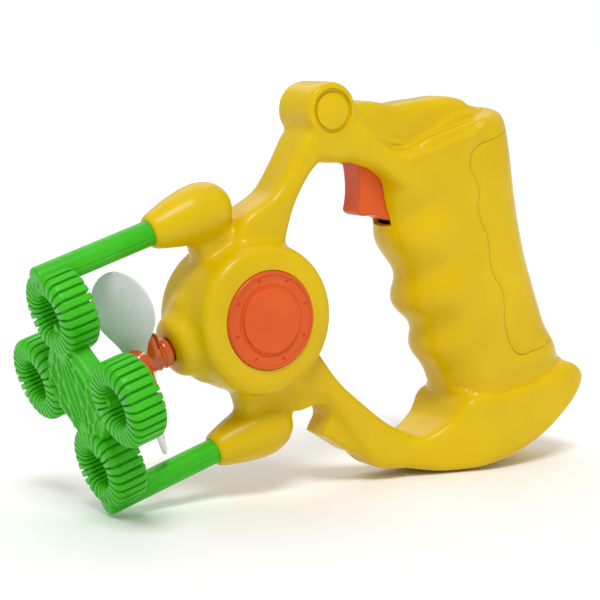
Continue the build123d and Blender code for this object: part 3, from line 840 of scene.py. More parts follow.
@dataclass
class Housing:
    """The two moulded halves of the body and the battery door in the back of the grip.

    Every size is in millimetres in the toy's own frame.
    """

    voxel: float = 0.8
    wall: float = 2.0
    drum_radius: float = 28.6
    drum_rim: float = 27.0
    drum_half: float = 17.4
    drum_edge: float = 5.0
    nose: tuple[Point, ...] = ((0, 0, 0), (0, 21, 0), (-16, 21.5, 4), (-27.5, 15, 5), (-29.5, 0, 0))
    nose_dome: tuple[Point, ...] = (
        (-14, 0, 0), (-14, 13.4, 0), (-25, 13.4, 5), (-33.4, 10.2, 3.2), (-33.4, 0, 0),
    )
    nose_room: float = 4.7
    nose_flat: float = 0.77
    grip_lead: float = 1.2
    rod_level: float = 42.3
    rod_room: float = 4.68
    socket_deep: float = 22.0
    socket_wall: float = 1.5
    cap_room: float = 18.1
    cap_sunk: float = 1.2
    boss: Flat = (51.8, 60.6)
    boss_radius: float = 10.6
    boss_half: float = 10.9
    seam_gap: float = 0.16
    hollow_climb: float = 0.17
    hollow_soft: float = 6.0
    ridge_soft: float = 1.3
    ridge_side: float = 13.5
    ridge_sunk: float = 0.8
    fold_in: float = 1.2
    fold_out: float = 0.7
    door_edge: float = 0.8
    dome_high: float = 0.9
    dome_radius: float = 6.0
    dome_sunk: float = 0.5
    rib_wave: float = 1.6
    rib_end: float = 1.8
    sole: Point = (86.5, -14.2, 78.5)
    slot: tuple[Point, Point] = ((53.0, -5.8, 10.0), (79.0, 5.8, 46.5))
    groove: tuple[Flat, ...] = ((0, 6.7), (0, 8.0), (3.0, 8.6), (3.0, 6.1), (0, 6.7))
    groove_deep: float = 3.0
    inner_voxel: float = 1.6
    door_middle: Flat = (120.0, -14.35)
    door_half: Flat = (20.0, 42.85)
    hairline: float = 0.04
    screw_room: float = 3.1
    screw_wall: float = 3.6
    screws: tuple[Flat, ...] = (
        (51.8, 60.6), (91.0, 22.0), (52.0, -77.5), (112.0, -80.0), (81.0, -46.0), (17.0, -17.0),
    )
    arm: list[Station] = field(default_factory=lambda: [
        (3.0, 14.0, 62, 22.0, 10.0), (12.1, 27.9, 46, 21.0, 10.0), (24.0, 36.2, 44, 10.5, 10.0),
        (34.4, 44.8, 44, 9.6, 10.0), (43.0, 50.6, 37, 13.0, 10.0), (50.0, 54.0, 30, 13.0, 10.0),
    ])
    bar: list[Station] = field(default_factory=lambda: [
        (44.0, 51.5, 0, 17.0, 9.5), (54.0, 51.0, -8, 22.0, 10.0), (66.0, 48.0, -15, 22.0, 9.0),
        (80.0, 43.4, -15, 22.6, 8.5), (96.0, 39.2, -5, 20.4, 8.5), (110.0, 35.8, -3, 18.0, 8.5),
        (120.5, 33.3, -28, 12.0, 7.5),
    ])
    lower_arm: list[Station] = field(default_factory=lambda: [
        (6.0, -16.0, -60, 26.0, 10.0), (20.8, -36.5, -57, 10.5, 10.0), (28.0, -51.0, -50, 12.5, 10.0),
        (36.8, -67.2, -38, 17.0, 10.0), (48.6, -75.5, -24, 13.0, 10.5),
    ])
    shoulder: list[Station] = field(default_factory=lambda: [
        (56.0, 47.5, 0, 17.0, 9.8), (64.0, 40.75, 0, 15.5, 12.5), (72.0, 30.5, 0, 17.0, 15.0),
        (84.0, 23.75, 0, 23.5, 16.8),
    ])
    grip: list[tuple[float, float, float, float]] = field(default_factory=lambda: [
        (37.0, 76.0, 125.0, 14.5), (33.0, 70.0, 128.3, 16.4), (20.0, 67.2, 127.2, 17.0),
        (5.0, 66.0, 124.8, 17.0), (-9.0, 69.2, 123.2, 17.0), (-22.0, 66.4, 122.5, 17.0),
        (-32.0, 70.0, 122.8, 17.0), (-42.0, 69.0, 123.3, 17.0), (-52.0, 72.8, 124.2, 17.0),
        (-62.0, 73.8, 127.0, 17.0), (-76.0, 77.0, 127.5, 15.5),
    ])
    foot: list[Point] = field(default_factory=lambda: [
        (46.0, -69.5, 10.5), (56.0, -71.0, 13.0), (66.0, -68.5, 15.2), (75.0, -63.0, 18.0),
        (88.0, -65.5, 19.0), (104.0, -68.3, 19.0), (118.0, -68.8, 18.3), (125.0, -68.8, 17.4),
        (129.0, -71.4, 16.0), (132.0, -75.4, 13.5),
    ])
    spur: list[Flat] = field(default_factory=lambda: [
        (33, -72.5), (24, -65), (14.2, -53.4), (16.2, -51.2), (18.6, -49.4), (19.9, -46.0), (18.4, -43.0),
        (15.0, -41.5), (7, -41), (7, -27), (19, -27), (33, -55),
    ])
    egg: list[Flat] = field(default_factory=lambda: [
        (5.8, 0), (5.3, 3.4), (3.6, 6.4), (0.2, 9.1), (-5, 10.6), (-11, 10.3), (-17, 9.2), (-23, 7.6),
        (-28, 6.0), (-28, 0),
    ])
    seam: list[Flat] = field(default_factory=lambda: [
        (110, 28.5), (107, 28.3), (104.5, 27.5), (102.6, 26), (101.4, 24), (100.9, 21.5), (101.1, 19),
        (101.9, 16), (102.4, 13), (101.6, 9.5), (100.1, 7), (99.4, 4.5), (99.7, 0), (100.9, -5),
        (100.6, -10), (99.4, -14.5), (99, -19), (99.9, -23.5), (101.3, -27), (101.6, -31),
        (100.3, -36.5), (99, -41), (98.8, -45), (98.9, -49), (99.7, -52.4), (101.4, -55.2), (104, -56.7),
        (109, -57.2),
    ])
    hollows: tuple[Point, ...] = ((11.0, 2.8, 94.0), (-13.0, 3.0, 98.0), (-35.0, 2.8, 92.0))
    upper_ridge: tuple[Flat, ...] = (
        (60.5, 51.5), (65.0, 46.5), (72.4, 41.7), (80.0, 38.6), (86.9, 37.4), (96.7, 37.9), (112.2, 38.6),
    )
    lower_ridge: tuple[Flat, ...] = ((76.5, 33.5), (94.4, 32.9), (106.0, 33.0), (114.0, 35.5))
    ridge_hollow: tuple[Flat, ...] = ((84.0, 35.2), (96.0, 35.4), (108.0, 35.6))
    foot_fold: tuple[Flat, ...] = (
        (50.0, -47.0), (55.2, -49.6), (70.7, -58.3), (88.0, -66.1), (105.8, -69.0), (124.8, -67.5),
        (135.0, -66.0),
    )

    def sole_level(self, x: float) -> float:
        """Gives the height of the curved sole at a distance along the toy."""
        middle, level, radius = self.sole
        return level - math.sqrt(radius ** 2 - (x - middle) ** 2)

    def forms(self) -> list[bpy.types.Object]:
        """Models each of the simple forms that the body is blended from.

        Returns:
            The closed forms.
        """
        half, edge = self.drum_half, self.drum_edge
        rim = [
            (-half, 0, 0), (-half, self.drum_rim, edge), (0, self.drum_radius, 9),
            (half, self.drum_rim, edge), (half, 0, 0),
        ]
        boss_x, boss_z = self.boss
        boss = [
            (-self.boss_half, 0, 0), (-self.boss_half, self.boss_radius, 1.6),
            (self.boss_half, self.boss_radius, 1.6), (self.boss_half, 0, 0),
        ]
        foot = [
            (x, (top + self.sole_level(x)) / 2, 0, top - self.sole_level(x), wide)
            for x, top, wide in self.foot
        ]
        grip = [
            ((front + back - self.grip_lead) / 2, level, 90, back - front + self.grip_lead, wide)
            for level, front, back, wide in self.grip
        ]
        made = [
            turned_piece("drum_form", rounded_outline(rim), Along.Y),
            turned_piece("nose_form", rounded_outline(self.nose), Along.X),
            turned_piece("dome_form", rounded_outline(self.nose_dome), Along.X),
            turned_piece("boss_form", rounded_outline(boss), Along.Y, (boss_x, 0, boss_z)),
            loft("arm_form", smooth_stations(self.arm), 4.0),
            loft("bar_form", smooth_stations(self.bar), 4.0),
            loft("shoulder_form", smooth_stations(self.shoulder), 4.0),
            loft("lower_arm_form", smooth_stations(self.lower_arm), 4.0),
            loft("foot_form", smooth_stations(foot), 3.2),
            loft("grip_form", smooth_stations(grip), 15.0),
            slab("spur_form", self.spur, 6.5),
        ]
        made[1].data.transform(Matrix.Diagonal((1.0, self.nose_flat, 1.0, 1.0)))
        for side, neck_end in ((1, 2.0), (-1, 6.5)):
            made.append(turned_piece("socket_form", self.egg, Along.X, (0, 0, side * self.rod_level)))
            middle, long = (neck_end - 13.5) / 2, neck_end + 13.5
            neck = [(middle, side * level, 90, long, 6.0) for level in (22, 40)]
            made.append(loft("neck_form", neck, 3.5))
        return made

    def sculpt(self, body: bpy.types.Object) -> None:
        """Presses the finger hollows, ridges and folds into the blended body.

        Args:
            body: The closed body.
        """
        places, normals = points_of(body), normals_of(body)
        x, y, z = places.T
        side_on = np.abs(normals[:, 1])
        push = np.zeros(len(places))
        # hollows for the fingers, a little higher towards the back
        for level, depth, back in self.hollows:
            climb = z - (level + self.hollow_climb * (x - 65))
            run = smooth_step(58, 66, x) * (1 - smooth_step(70, back, x)) * (z < 30)
            push -= depth * np.exp(-(climb / self.hollow_soft) ** 2) * run * (0.25 + 0.75 * side_on)
        # raised lines along the shoulder of the grip
        for line, height in ((self.upper_ridge, 1.3), (self.lower_ridge, 1.1)):
            edge = side_on + (1 - side_on) * np.exp(-((np.abs(y) - self.ridge_side) / 1.6) ** 2)
            push += height * np.exp(-(line_gap(x, z, line) / self.ridge_soft) ** 2) * edge
        push -= self.ridge_sunk * np.exp(-(line_gap(x, z, self.ridge_hollow) / 2.6) ** 2) * side_on
        # the grip goes into the flared foot with a step
        fold_x, fold_z = np.array(self.foot_fold).T
        above = z - np.interp(x, fold_x, fold_z)
        on_foot = smooth_step(52, 58, x) * side_on * (np.abs(y) > 8)
        over, under = np.exp(-above / 6.0), np.exp(np.minimum(above, 0) / 4.0)
        step = np.where(above > 0, -self.fold_in * over, self.fold_out * under)
        push += step * on_foot
        # softened edges of the battery door
        push -= self.door_edge * np.exp(-line_gap(x, z, self.seam) ** 2) * (np.abs(y) > 6)
        # the low dome in the middle of the boss
        away = np.hypot(x - self.boss[0], z - self.boss[1])
        dome = self.dome_high * np.clip(1 - (away / self.dome_radius) ** 2, 0, 1)
        push += (dome - self.dome_sunk * (away < 7.5)) * (side_on > 0.6)
        places = places + normals * push[:, None]
        # the rib along the top dips behind the boss, then rises to a hump
        top = smooth_step(36, 41, z) * (np.abs(y) < 9.2)
        hump = self.rib_wave * np.exp(-((x - 104) / 8.0) ** 2)
        dip = self.rib_wave * np.exp(-((x - 81) / 7.0) ** 2)
        places[:, 2] += top * (hump - dip - self.rib_end * smooth_step(111, 115, x))
        move_points(body, places)

    def blended(self) -> bpy.types.Object:
        """Blends the forms into one soft closed body.

        Returns:
            The body.
        """
        body = join("body_form", self.forms())
        apply_modifier(body, "REMESH", mode="VOXEL", voxel_size=self.voxel, use_smooth_shade=True)
        relax(body, 4)
        relax(body, 26, hollow_share(body, 0.03, 3))
        relax(body, 3)
        self.sculpt(body)
        relax(body, 1)
        return body

    def openings(self, shell: bpy.types.Object) -> None:
        """Cuts the ways through the walls: sockets, nose, caps, trigger slot, screws and the boss's groove.

        Args:
            shell: The hollow body.
        """
        for side in (1, -1):
            carve(shell, rod_piece(
                "socket_cut", (-30, 0, side * self.rod_level), Along.X, self.rod_room, self.socket_deep + 2
            ))
        carve(shell, rod_piece("nose_cut", (-36, 0, 0), Along.X, self.nose_room, 10))
        start = self.drum_half - self.cap_sunk
        boss_x, boss_z = self.boss
        for face in (-1, 1):
            low = start if face > 0 else -start - 6
            carve(shell, rod_piece("cap_cut", (0, low, 0), Along.Y, self.cap_room, 6))
            near = self.boss_half - 1.4 if face > 0 else -self.boss_half - 1.6
            outline = self.groove
            if face < 0:
                outline = [(self.groove_deep - along, out) for along, out in outline]
            carve(shell, turned_piece("groove_cut", outline, Along.Y, (boss_x, near, boss_z)))
        carve(shell, box_piece("slot_cut", *self.slot))
        for x, z in self.screws:
            carve(shell, rod_piece("screw_cut", (x, 5.0, z), Along.Y, self.screw_room, 20, 32))

    def hollowed(self, body: bpy.types.Object) -> bpy.types.Object:
        """Takes the inside out of the body, leaving its wall.

        Args:
            body: The closed body.

        Returns:
            The hollow body.
        """
        inside = clone(body, "inside_form")
        apply_modifier(inside, "DISPLACE", strength=-self.wall, mid_level=0.0, direction="NORMAL")
        apply_modifier(inside, "REMESH", mode="VOXEL", voxel_size=self.inner_voxel)
        relax(inside, 3)
        for side in (1, -1):
            carve(inside, rod_piece(
                "socket_wall", (-30, 0, side * self.rod_level), Along.X,
                self.rod_room + self.socket_wall, self.socket_deep + 3.5,
            ))
        for x, z in self.screws:
            carve(inside, rod_piece("screw_post", (x, -22, z), Along.Y, self.screw_wall, 44, 32))
        carve(body, inside)
        return body

    def door_shape(self, name: str, room: float) -> bpy.types.Object:
        """Makes the region of the grip that the battery door takes.

        Args:
            name: Its name.
            room: How much it is grown, in millimetres.

        Returns:
            The region.
        """
        (middle_x, middle_z), (half_x, half_z) = self.door_middle, self.door_half
        outline = list(self.seam) + [(140, self.seam[-1][1]), (140, self.seam[0][1])]
        grown = [
            (middle_x + (x - middle_x) * (1 + room / half_x), middle_z + (z - middle_z) * (1 + room / half_z))
            for x, z in outline
        ]
        return slab(name, grown, 24)

    def build(self, finish: bpy.types.Material) -> None:
        """Models the body, parts it into its halves and door, and puts them in place.

        Args:
            finish: The material of all three.
        """
        body = self.hollowed(self.blended())
        self.openings(body)
        door = clone(body, "battery_door_moulding")
        carve(door, self.door_shape("door_region", -self.seam_gap / 2), "INTERSECT")
        carve(body, self.door_shape("door_room", self.seam_gap / 2))
        left = clone(body, "left_shell_moulding")
        body.name = "right_shell_moulding"
        carve(left, box_piece("left_side", (-200, -100, -200), (200, -self.hairline, 200)), "INTERSECT")
        carve(body, box_piece("right_side", (-200, self.hairline, -200), (200, 100, 200)), "INTERSECT")
        rows = ((left, "housing", "left_shell"), (body, "housing", "right_shell"))
        for piece, rides_on, node in (*rows, (door, "battery_door", "battery_door")):
            finish_piece(piece, rides_on, finish, (node,))


# ---- orange pieces ----


@dataclass
class HubCap:
    """A round cap let into one face of the drum: raised middle, eight dimples round it."""

    face: int
    radius: float = 17.9
    foot: float = 16.3
    crown: float = 19.1
    middle: float = 11.8
    dimples: int = 8
    dimple_ring: float = 15.0
    first_dimple: float = 2.0
    dimple: float = 0.85
    lip: float = 0.6
    bead: Flat = (16.9, 16.6)
    step: Flat = (13.1, 12.8)
    sunk: Flat = (0.45, 0.7)

    def build(self, name: str, node: str, finish: bpy.types.Material) -> None:
        """Models the cap.

        Args:
            name: The piece's name.
            node: The CAD node that it stands for.
            finish: Its material.
        """
        side = self.face
        rim = self.crown - self.lip
        upper, lower = (side * (rim - sunk) for sunk in self.sunk)
        corners = [
            (side * self.foot, 0, 0), (side * self.foot, self.radius, 0), (side * rim, self.radius, 1.3),
            (side * rim, self.bead[0], 0.3), (upper, self.bead[1], 0.2), (upper, self.step[0], 0.2),
            (lower, self.step[1], 0.2), (lower, self.middle + 0.2, 0.15),
            (side * self.crown, self.middle - 0.2, 0.5), (side * self.crown, 0, 0),
        ]
        cap = turned_piece(name, rounded_outline(corners, 4), Along.Y, steps=128)
        dots = []
        for number in range(self.dimples):
            angle = math.radians(self.first_dimple + 360 / self.dimples * number)
            x, z = self.dimple_ring * math.cos(angle), self.dimple_ring * math.sin(angle)
            deselect()
            bpy.ops.mesh.primitive_uv_sphere_add(
                segments=24, ring_count=12, radius=self.dimple, location=(x, side * (rim - 0.25), z)
            )
            bpy.ops.object.transform_apply(location=True, rotation=False, scale=False)
            dots.append(adopt("dimple"))
        carve(cap, join("dimples", dots))
        finish_piece(cap, "housing", finish, (node,), 30)


@dataclass
class Trigger:
    """The finger lever, moulded with rounded edges."""

    voxel: float = 0.35
    front: float = 51.0
    back: float = 68.0
    drawn_in: float = 5.0
    pivot_level: float = 41.0

    def build(self, finish: bpy.types.Material) -> None:
        """Models the trigger from its CAD form, with its edges rounded.

        Args:
            finish: Its material.
        """
        piece = cad_copy("trigger", "trigger_moulding", TOY.inverted())
        apply_modifier(piece, "REMESH", mode="VOXEL", voxel_size=self.voxel)
        relax(piece, 14)
        places = points_of(piece)
        # the finger's side is drawn in, so that the lever is slimmer than the room it moves in
        ahead = np.clip((self.back - places[:, 0]) / (self.back - self.front), 0, 1.2)
        places[:, 0] += self.drawn_in * ahead * smooth_step(-8, 2, self.pivot_level - places[:, 2])
        move_points(piece, places)
        finish_piece(piece, "trigger", finish, ("trigger",), 60)


@dataclass
class Fan:
    """The fan's hub with its two blade holders, and the clear blades."""

    nose: float = -51.0
    back: float = -34.3
    radius: float = 5.15
    ribs: tuple[float, ...] = (-37.0, -39.2)
    holder: Point = (15.4, 10.2, 4.6)
    middle: float = -43.5
    pitch: float = 30.0
    lean: tuple[Point, Point] = ((-2.0, 0.0, -1.5), (-2.0, 0.0, 1.5))
    voxel: float = 0.3
    shaft_end: float = -31.6
    shaft_wall: float = 3.5
    shaft_room: float = 1.05
    slit: float = 0.55

    def holder_turn(self, side: int) -> Matrix:
        """Gives the turn of one blade holder about the axis along it."""
        return Matrix.Rotation(-side * math.radians(90 - self.pitch), 4, "Z")

    def holder_form(self, side: int) -> bpy.types.Object:
        """Models one of the rounded lugs that grip the blades.

        Args:
            side: One for the upper lug, minus one for the lower.

        Returns:
            The lug.
        """
        chord, high, thick = self.holder
        deselect()
        bpy.ops.mesh.primitive_cube_add(size=1.0, location=(0, 0, 0))
        lug = adopt("blade_lug")
        lug.data.transform(Matrix.Diagonal((chord, thick, high, 1.0)))
        apply_modifier(lug, "BEVEL", width=2.2, segments=6, limit_method="NONE")
        place = Matrix.Translation((self.middle, 0, side * high / 2))
        lug.data.transform(place @ self.holder_turn(side))
        return lug

    def build(self, hub: bpy.types.Material, sheet: bpy.types.Material) -> None:
        """Models the hub and the blades.

        Args:
            hub: The hub's material.
            sheet: The blades' material.
        """
        corners = [
            (self.nose, 0, 0), (self.nose, 2.9, 1.8), (self.nose + 3.4, self.radius, 1.6),
            (self.ribs[1] - 0.8, self.radius, 0.1), (self.ribs[1] - 0.6, self.radius + 0.55, 0.2),
            (self.ribs[1] + 0.4, self.radius + 0.55, 0.2), (self.ribs[1] + 0.6, self.radius - 0.2, 0.1),
            (self.ribs[0] - 0.6, self.radius - 0.2, 0.1), (self.ribs[0] - 0.4, self.radius + 0.6, 0.3),
            (self.back, self.radius + 0.6, 0.6), (self.back, self.shaft_wall, 0),
            (self.shaft_end, self.shaft_wall, 0), (self.shaft_end, 0, 0),
        ]
        body = turned_piece("fan_hub_moulding", rounded_outline(corners, 4), Along.X, steps=72)
        for side in (1, -1):
            carve(body, self.holder_form(side), "UNION")
        apply_modifier(body, "REMESH", mode="VOXEL", voxel_size=self.voxel)
        relax(body, 12)
        carve(body, rod_piece("shaft_room", (self.nose + 1.8, 0, 0), Along.X, self.shaft_room, 30, 32))
        for side in (1, -1):
            chord, high = self.holder[:2]
            slit = box_piece("blade_slit", (-chord, -self.slit, 0), (chord, self.slit, high + 2))
            place = Matrix.Translation((self.middle - 0.5, 0, side * 4.0))
            flip = Matrix.Diagonal((1, 1, side, 1))
            slit.data.transform(place @ self.holder_turn(side) @ flip)
            outward(slit)
            carve(body, slit)
        finish_piece(body, "fan", hub, ("fan_hub",), 35)
        for number in (1, 2):
            node = f"fan_blade_{number}"
            place = Matrix.Translation(self.lean[number - 1]) @ TOY.inverted()
            blade = cad_copy(node, f"clear_blade_{number}", place)
            apply_modifier(
                blade, "BEVEL", width=0.25, segments=2, limit_method="ANGLE", angle_limit=math.radians(60)
            )
            finish_piece(blade, "fan", sheet, (node,), 30)


# ---- the green wand ----


@dataclass
class Wand:
    """Four ribbed bubble rings on two rods, moulded in one with a ribbed plate between them."""

    front: float = -74.0
    deep: float = 13.0
    radius: float = 15.5
    hole: float = 7.0
    edge: float = 2.6
    fins: int = 28
    groove: float = 1.7
    across: float = 30.7
    level: float = 29.0
    rod_level: float = 42.3
    rod_radius: float = 4.6
    rod_end: float = -6.3
    steps_a_fin: int = 12
    web_reach: float = 25.8
    web_deep: float = 7.9
    web_sunk: float = 0.6
    rib_high: float = 1.9
    rib_wide: float = 1.2
    rib_short: float = 3.0
    rib_focus: float = 21.0
    rib_leans: tuple[float, ...] = (-42.0, -27.0, -13.0, 0.0, 13.0, 27.0, 42.0)

    def ring(self, name: str, node: str, y: float, z: float, finish: bpy.types.Material) -> None:
        """Models one ring, with fins all over its face, outside and bore.

        Args:
            name: The piece's name.
            node: The CAD node that it stands for.
            y: Its centre across.
            z: Its centre up.
            finish: Its material.
        """
        middle = (self.radius + self.hole) / 2
        half = (self.radius - self.hole) / 2
        outline = []
        for corner_x, corner_r, start in ((1, 1, 0), (-1, 1, 90), (-1, -1, 180), (1, -1, 270)):
            for step in range(5):
                angle = math.radians(start + 22.5 * step)
                along = self.front + self.deep / 2 + corner_x * (self.deep / 2 - self.edge)
                out = middle + corner_r * (half - self.edge)
                outline.append((along + self.edge * math.cos(angle), out + self.edge * math.sin(angle)))
        outline.append(outline[0])
        steps = self.fins * self.steps_a_fin
        ring = turned_piece(name, outline, Along.X, (0, y, z), steps)
        places = points_of(ring)
        away = places - np.array([0.0, y, z])
        out = np.hypot(away[:, 1], away[:, 2])
        angle = np.arctan2(away[:, 2], away[:, 1])
        wave = 0.5 - 0.5 * np.cos(angle * self.fins)
        valley = (1 - smooth_step(0.05, 0.3, wave)) * self.groove
        core_x = self.front + self.deep / 2
        to_core = np.stack([core_x - places[:, 0], middle - out], axis=1)
        reach = np.array([self.deep / 2, half])
        pull = valley[:, None] * np.sign(to_core) * np.minimum(1, (np.abs(to_core) / reach) ** 3)
        new_out = out + pull[:, 1] * 0.8
        places[:, 0] += pull[:, 0]
        places[:, 1] = y + away[:, 1] / out * new_out
        places[:, 2] = z + away[:, 2] / out * new_out
        move_points(ring, places)
        finish_piece(ring, "wand", finish, (node,), 50)

    def rod(self, name: str, node: str, side: int, finish: bpy.types.Material) -> None:
        """Models one rod, its front rounded off and a fine mould line along it.

        Args:
            name: The piece's name.
            node: The CAD node that it stands for.
            side: One for the upper rod, minus one for the lower.
            finish: Its material.
        """
        corners = [
            (self.front, 0, 0), (self.front, self.rod_radius, 1.5), (self.rod_end, self.rod_radius, 0.7),
            (self.rod_end, 0, 0),
        ]
        outline = rounded_outline(corners, 5)
        rod = turned_piece(name, outline, Along.X, (0, 0, side * self.rod_level), 96)
        places = points_of(rod)
        up = places[:, 2] - side * self.rod_level
        angle = np.degrees(np.arctan2(up, -places[:, 1]))
        line = np.exp(-((angle + 12) / 3.0) ** 2) * (np.hypot(places[:, 1], up) > 4.0)
        places[:, 1] *= 1 - 0.05 * line
        places[:, 2] = side * self.rod_level + up * (1 - 0.05 * line)
        move_points(rod, places)
        finish_piece(rod, "wand", finish, (node,), 40)

    def web(self, finish: bpy.types.Material) -> None:
        """Models the plate between the rings, with ribs that cross in two fans.

        Args:
            finish: Its material.
        """
        reach, back = self.web_reach, self.front + self.web_deep
        diamond = [(-reach, 0), (0, reach), (reach, 0), (0, -reach)]
        inside = (reach - self.rib_short) / reach
        inner = [(across * inside, up * inside) for across, up in diamond]
        thin = (self.web_deep - self.rib_high) / 2
        plate = self.upright(slab("wand_web_plate", diamond, thin))
        plate.data.transform(Matrix.Translation((back - thin, 0, 0)))
        half = self.rib_wide / 2
        for side in (1, -1):
            for lean in self.rib_leans:
                ray = [(-half, -60 * side), (half, -60 * side), (half, 0), (-half, 0)]
                bar = self.upright(slab("rib", ray, self.web_deep / 2))
                turn = Matrix.Rotation(math.radians(lean), 4, "X")
                middle = self.front + self.web_sunk + self.web_deep / 2
                bar.data.transform(Matrix.Translation((middle, 0, side * self.rib_focus)) @ turn)
                edge = self.upright(slab("rib_room", inner, self.web_deep))
                edge.data.transform(Matrix.Translation((self.front + self.web_sunk, 0, 0)))
                carve(bar, edge, "INTERSECT")
                carve(plate, bar, "UNION")
        apply_modifier(plate, "REMESH", mode="VOXEL", voxel_size=0.45)
        relax(plate, 2)
        finish_piece(plate, "wand", finish, ("wand_web",), 50)

    def upright(self, piece: bpy.types.Object) -> bpy.types.Object:
        """Turns a slab so that it faces along the rods."""
        piece.data.transform(Matrix.Rotation(math.pi / 2, 4, "Z"))
        return piece

    def build(self, finish: bpy.types.Material) -> None:
        """Models the rings, web and rods.

        Args:
            finish: Their material.
        """
        rings = {
            "top": (0, self.level), "bottom": (0, -self.level),
            "near": (-self.across, 0), "far": (self.across, 0),
        }
        for name, (y, z) in rings.items():
            self.ring(f"ribbed_ring_{name}", f"wand_ring_{name}", y, z, finish)
        self.web(finish)
        self.rod("rod_upper", "wand_rod_top", 1, finish)
        self.rod("rod_lower", "wand_rod_bottom", -1, finish)


# ---- what stays as the CAD has it ----


@dataclass
class Innards:
    """The CAD pieces inside, which keep their shape and get a real finish."""

    finishes: dict[str, bpy.types.Material]

    def dress(self) -> None:
        """Gives each CAD node its material, by the record's material slots."""
        slots = {row["node"]: row["material_slot"] for row in frame["record"]["subparts"]}
        for name, node in frame["nodes"].items():
            node.data.materials.clear()
            node.data.materials.append(self.finishes[slots[name]])
            activate(node)
            bpy.ops.object.shade_smooth_by_angle(angle=math.radians(35))
            log.info("CAD node %s: %s", name, slots[name])


# ---- the studio ----


@dataclass(frozen=True)
class Studio:
    """A white floor, two broad lamps, a white sky and the camera."""

    azimuth: float = 32.64
    elevation: float = 7.71
    roll: float = -0.46
    distance: float = 726.0
    aim: Point = (-15.2, -10.1, 72.4)
    lens: float = 120.0
    air: float = 0.6
    lamps: tuple[tuple[str, float, float, float, float], ...] = (
        ("key_lamp", -30.0, 58.0, 22.0, 1.6), ("back_lamp", 160.0, 50.0, 50.0, 0.5),
    )

    def floor(self) -> None:
        """Lays the floor."""
        deselect()
        bpy.ops.mesh.primitive_plane_add(size=12.0, location=(0, 0, 0))
        floor = adopt("studio_floor")
        material = bpy.data.materials.new("painted_floor")
        material.use_nodes = True
        shader = material.node_tree.nodes["Principled BSDF"]
        shader.inputs["Base Color"].default_value = linear("FAFAFA")
        shader.inputs["Roughness"].default_value = 0.9
        floor.data.materials.append(material)

    def lamp(self, name: str, turn: float, rise: float, softness: float, power: float) -> None:
        """Hangs a large soft lamp far away, facing the toy.

        Args:
            name: Its name.
            turn: Which way it hangs, in degrees to the right of straight ahead of the toy.
            rise: How high it hangs, in degrees.
            softness: How wide it looks from the toy, in degrees.
            power: The light that it gives, in watts a square metre.
        """
        data = bpy.data.lights.new(name, "SUN")
        data.energy = power
        data.angle = math.radians(softness)
        lamp = bpy.data.objects.new(name, data)
        flat, high = math.radians(turn), math.radians(rise)
        place = Vector((math.sin(flat) * math.cos(high), -math.cos(flat) * math.cos(high), math.sin(high)))
        lamp.location = place
        lamp.rotation_euler = (-place).to_track_quat("-Z", "Y").to_euler()
        bpy.context.scene.collection.objects.link(lamp)

    def sky(self) -> None:
        """Sets a white sky that lights the toy less than it shows, so that forms keep their shading."""
        world = bpy.data.worlds.new("studio_air")
        world.use_nodes = True
        tree = world.node_tree
        back = tree.nodes["Background"]
        back.inputs["Color"].default_value = linear("FFFFFF")
        seen = tree.nodes.new("ShaderNodeLightPath")
        level = tree.nodes.new("ShaderNodeMapRange")
        level.inputs["To Min"].default_value = self.air
        level.inputs["To Max"].default_value = 1.0
        tree.links.new(seen.outputs["Is Camera Ray"], level.inputs["Value"])
        tree.links.new(level.outputs["Result"], back.inputs["Strength"])
        bpy.context.scene.world = world

    def camera(self) -> None:
        """Sets the camera up."""
        turn, rise = math.radians(self.azimuth), math.radians(self.elevation)
        ahead = Vector((
            math.sin(turn) * math.cos(rise), math.cos(turn) * math.cos(rise), -math.sin(rise)
        ))
        data = bpy.data.cameras.new("studio_camera")
        data.lens = self.lens
        data.sensor_width = 36.0
        data.clip_start = 0.01
        camera = bpy.data.objects.new("studio_camera", data)
        place = Vector(self.aim) * MM - ahead * self.distance * MM
        level = ahead.to_track_quat("-Z", "Y").to_matrix().to_4x4()
        rolled = Matrix.Rotation(math.radians(self.roll), 4, "Z")
        camera.matrix_world = Matrix.Translation(place) @ level @ rolled
        bpy.context.scene.collection.objects.link(camera)
        bpy.context.scene.camera = camera

    def build(self) -> None:
        """Builds the floor, the lights and the camera."""
        self.floor()
        for lamp in self.lamps:
            self.lamp(*lamp)
        self.sky()
        bpy.context.scene.view_settings.view_transform = "Standard"
        self.camera()


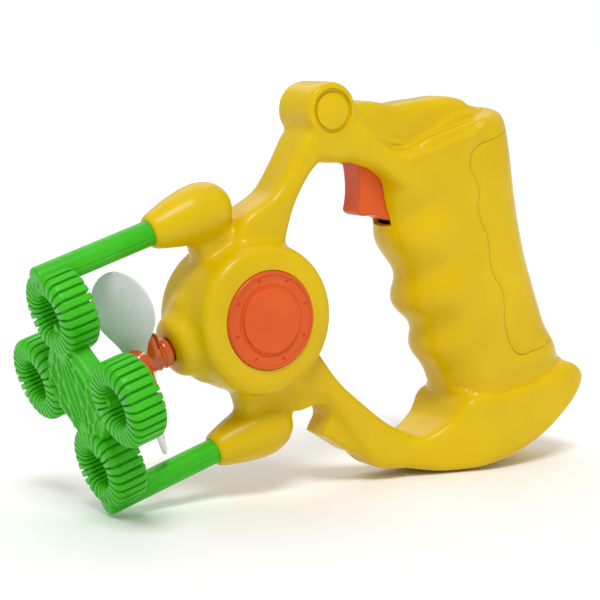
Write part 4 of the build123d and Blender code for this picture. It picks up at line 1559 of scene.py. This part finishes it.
def finishes() -> dict[str, bpy.types.Material]:
    """Makes every material, by the record's material slot.

    Returns:
        The materials.
    """
    made = {
        # glossy yellow skin with a deep orange-yellow in the thick places
        "yellow_shell": MouldedPlastic(
            "moulded_yellow_abs", "DDBB00", "D3B000", 0.27, 40, 1.1, 0.012, 0.0, 0.22
        ),
        # warm orange with a satin skin
        "orange_plastic": MouldedPlastic("moulded_orange_abs", "DD5A16", "D35212", 0.36, 20, 0.8, 0.012),
        # a harder gloss, a little browner
        "orange_hub": MouldedPlastic(
            "moulded_orange_polypropylene", "CC5A14", "BE5010", 0.16, 12, 0.8, 0.008, 0.6
        ),
        # satin green, a touch deeper where the resin lies thick
        "green_wand": MouldedPlastic("moulded_green_polypropylene", "3DBD10", "33B20C", 0.36, 16, 0.7, 0.01),
        "clear_blade": ClearSheet(),
        # undyed cream plastic
        "inner_plastic": MouldedPlastic("moulded_natural_abs", "E4E2DA", "DAD8CE", 0.5, 12, 0.6, 0.012),
        "motor_steel": Metal("drawn_nickel_plated_steel", "B8B9BB", 0.28),
        "ferrite": Metal("sintered_ferrite", "2A2A2C", 0.7, 0.8, (1, 1, 1), 0.2),
        "brass_contact": Metal("stamped_brass", "C9A352", 0.3, 0.3),
        "spring_steel": Metal("nickel_plated_spring_wire", "C2C3C5", 0.25, 0.3),
        # dark printed sleeve shrunk on a steel can
        "cell_wrap": MouldedPlastic("shrunk_cell_sleeve", "2F3B4E", "283343", 0.3, 15, 0.5, 0.006, 0.3),
        "red_pvc": MouldedPlastic("extruded_red_vinyl", "C0241C", "B01E18", 0.45, 8, 0.4, 0.01),
        "black_pvc": MouldedPlastic("extruded_black_vinyl", "1E1E1F", "171718", 0.45, 8, 0.4, 0.01),
        "blue_pvc": MouldedPlastic("extruded_blue_vinyl", "2346A8", "1D3C96", 0.45, 8, 0.4, 0.01),
        "screw_steel": Metal("zinc_plated_steel", "BEBFC4", 0.33, 0.25),
    }
    return {slot: finish.make() for slot, finish in made.items()}


def main() -> None:
    """Builds the toy's looks and the studio."""
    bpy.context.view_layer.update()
    made = finishes()
    Studio().build()
    Innards(made).dress()
    Housing().build(made["yellow_shell"])
    HubCap(-1).build("side_cap_left", "left_hub_cap", made["orange_plastic"])
    HubCap(1).build("side_cap_right", "right_hub_cap", made["orange_plastic"])
    Trigger().build(made["orange_plastic"])
    Fan().build(made["orange_hub"], made["clear_blade"])
    Wand().build(made["green_wand"])
    deselect()


if __name__ == "__main__":
    main()
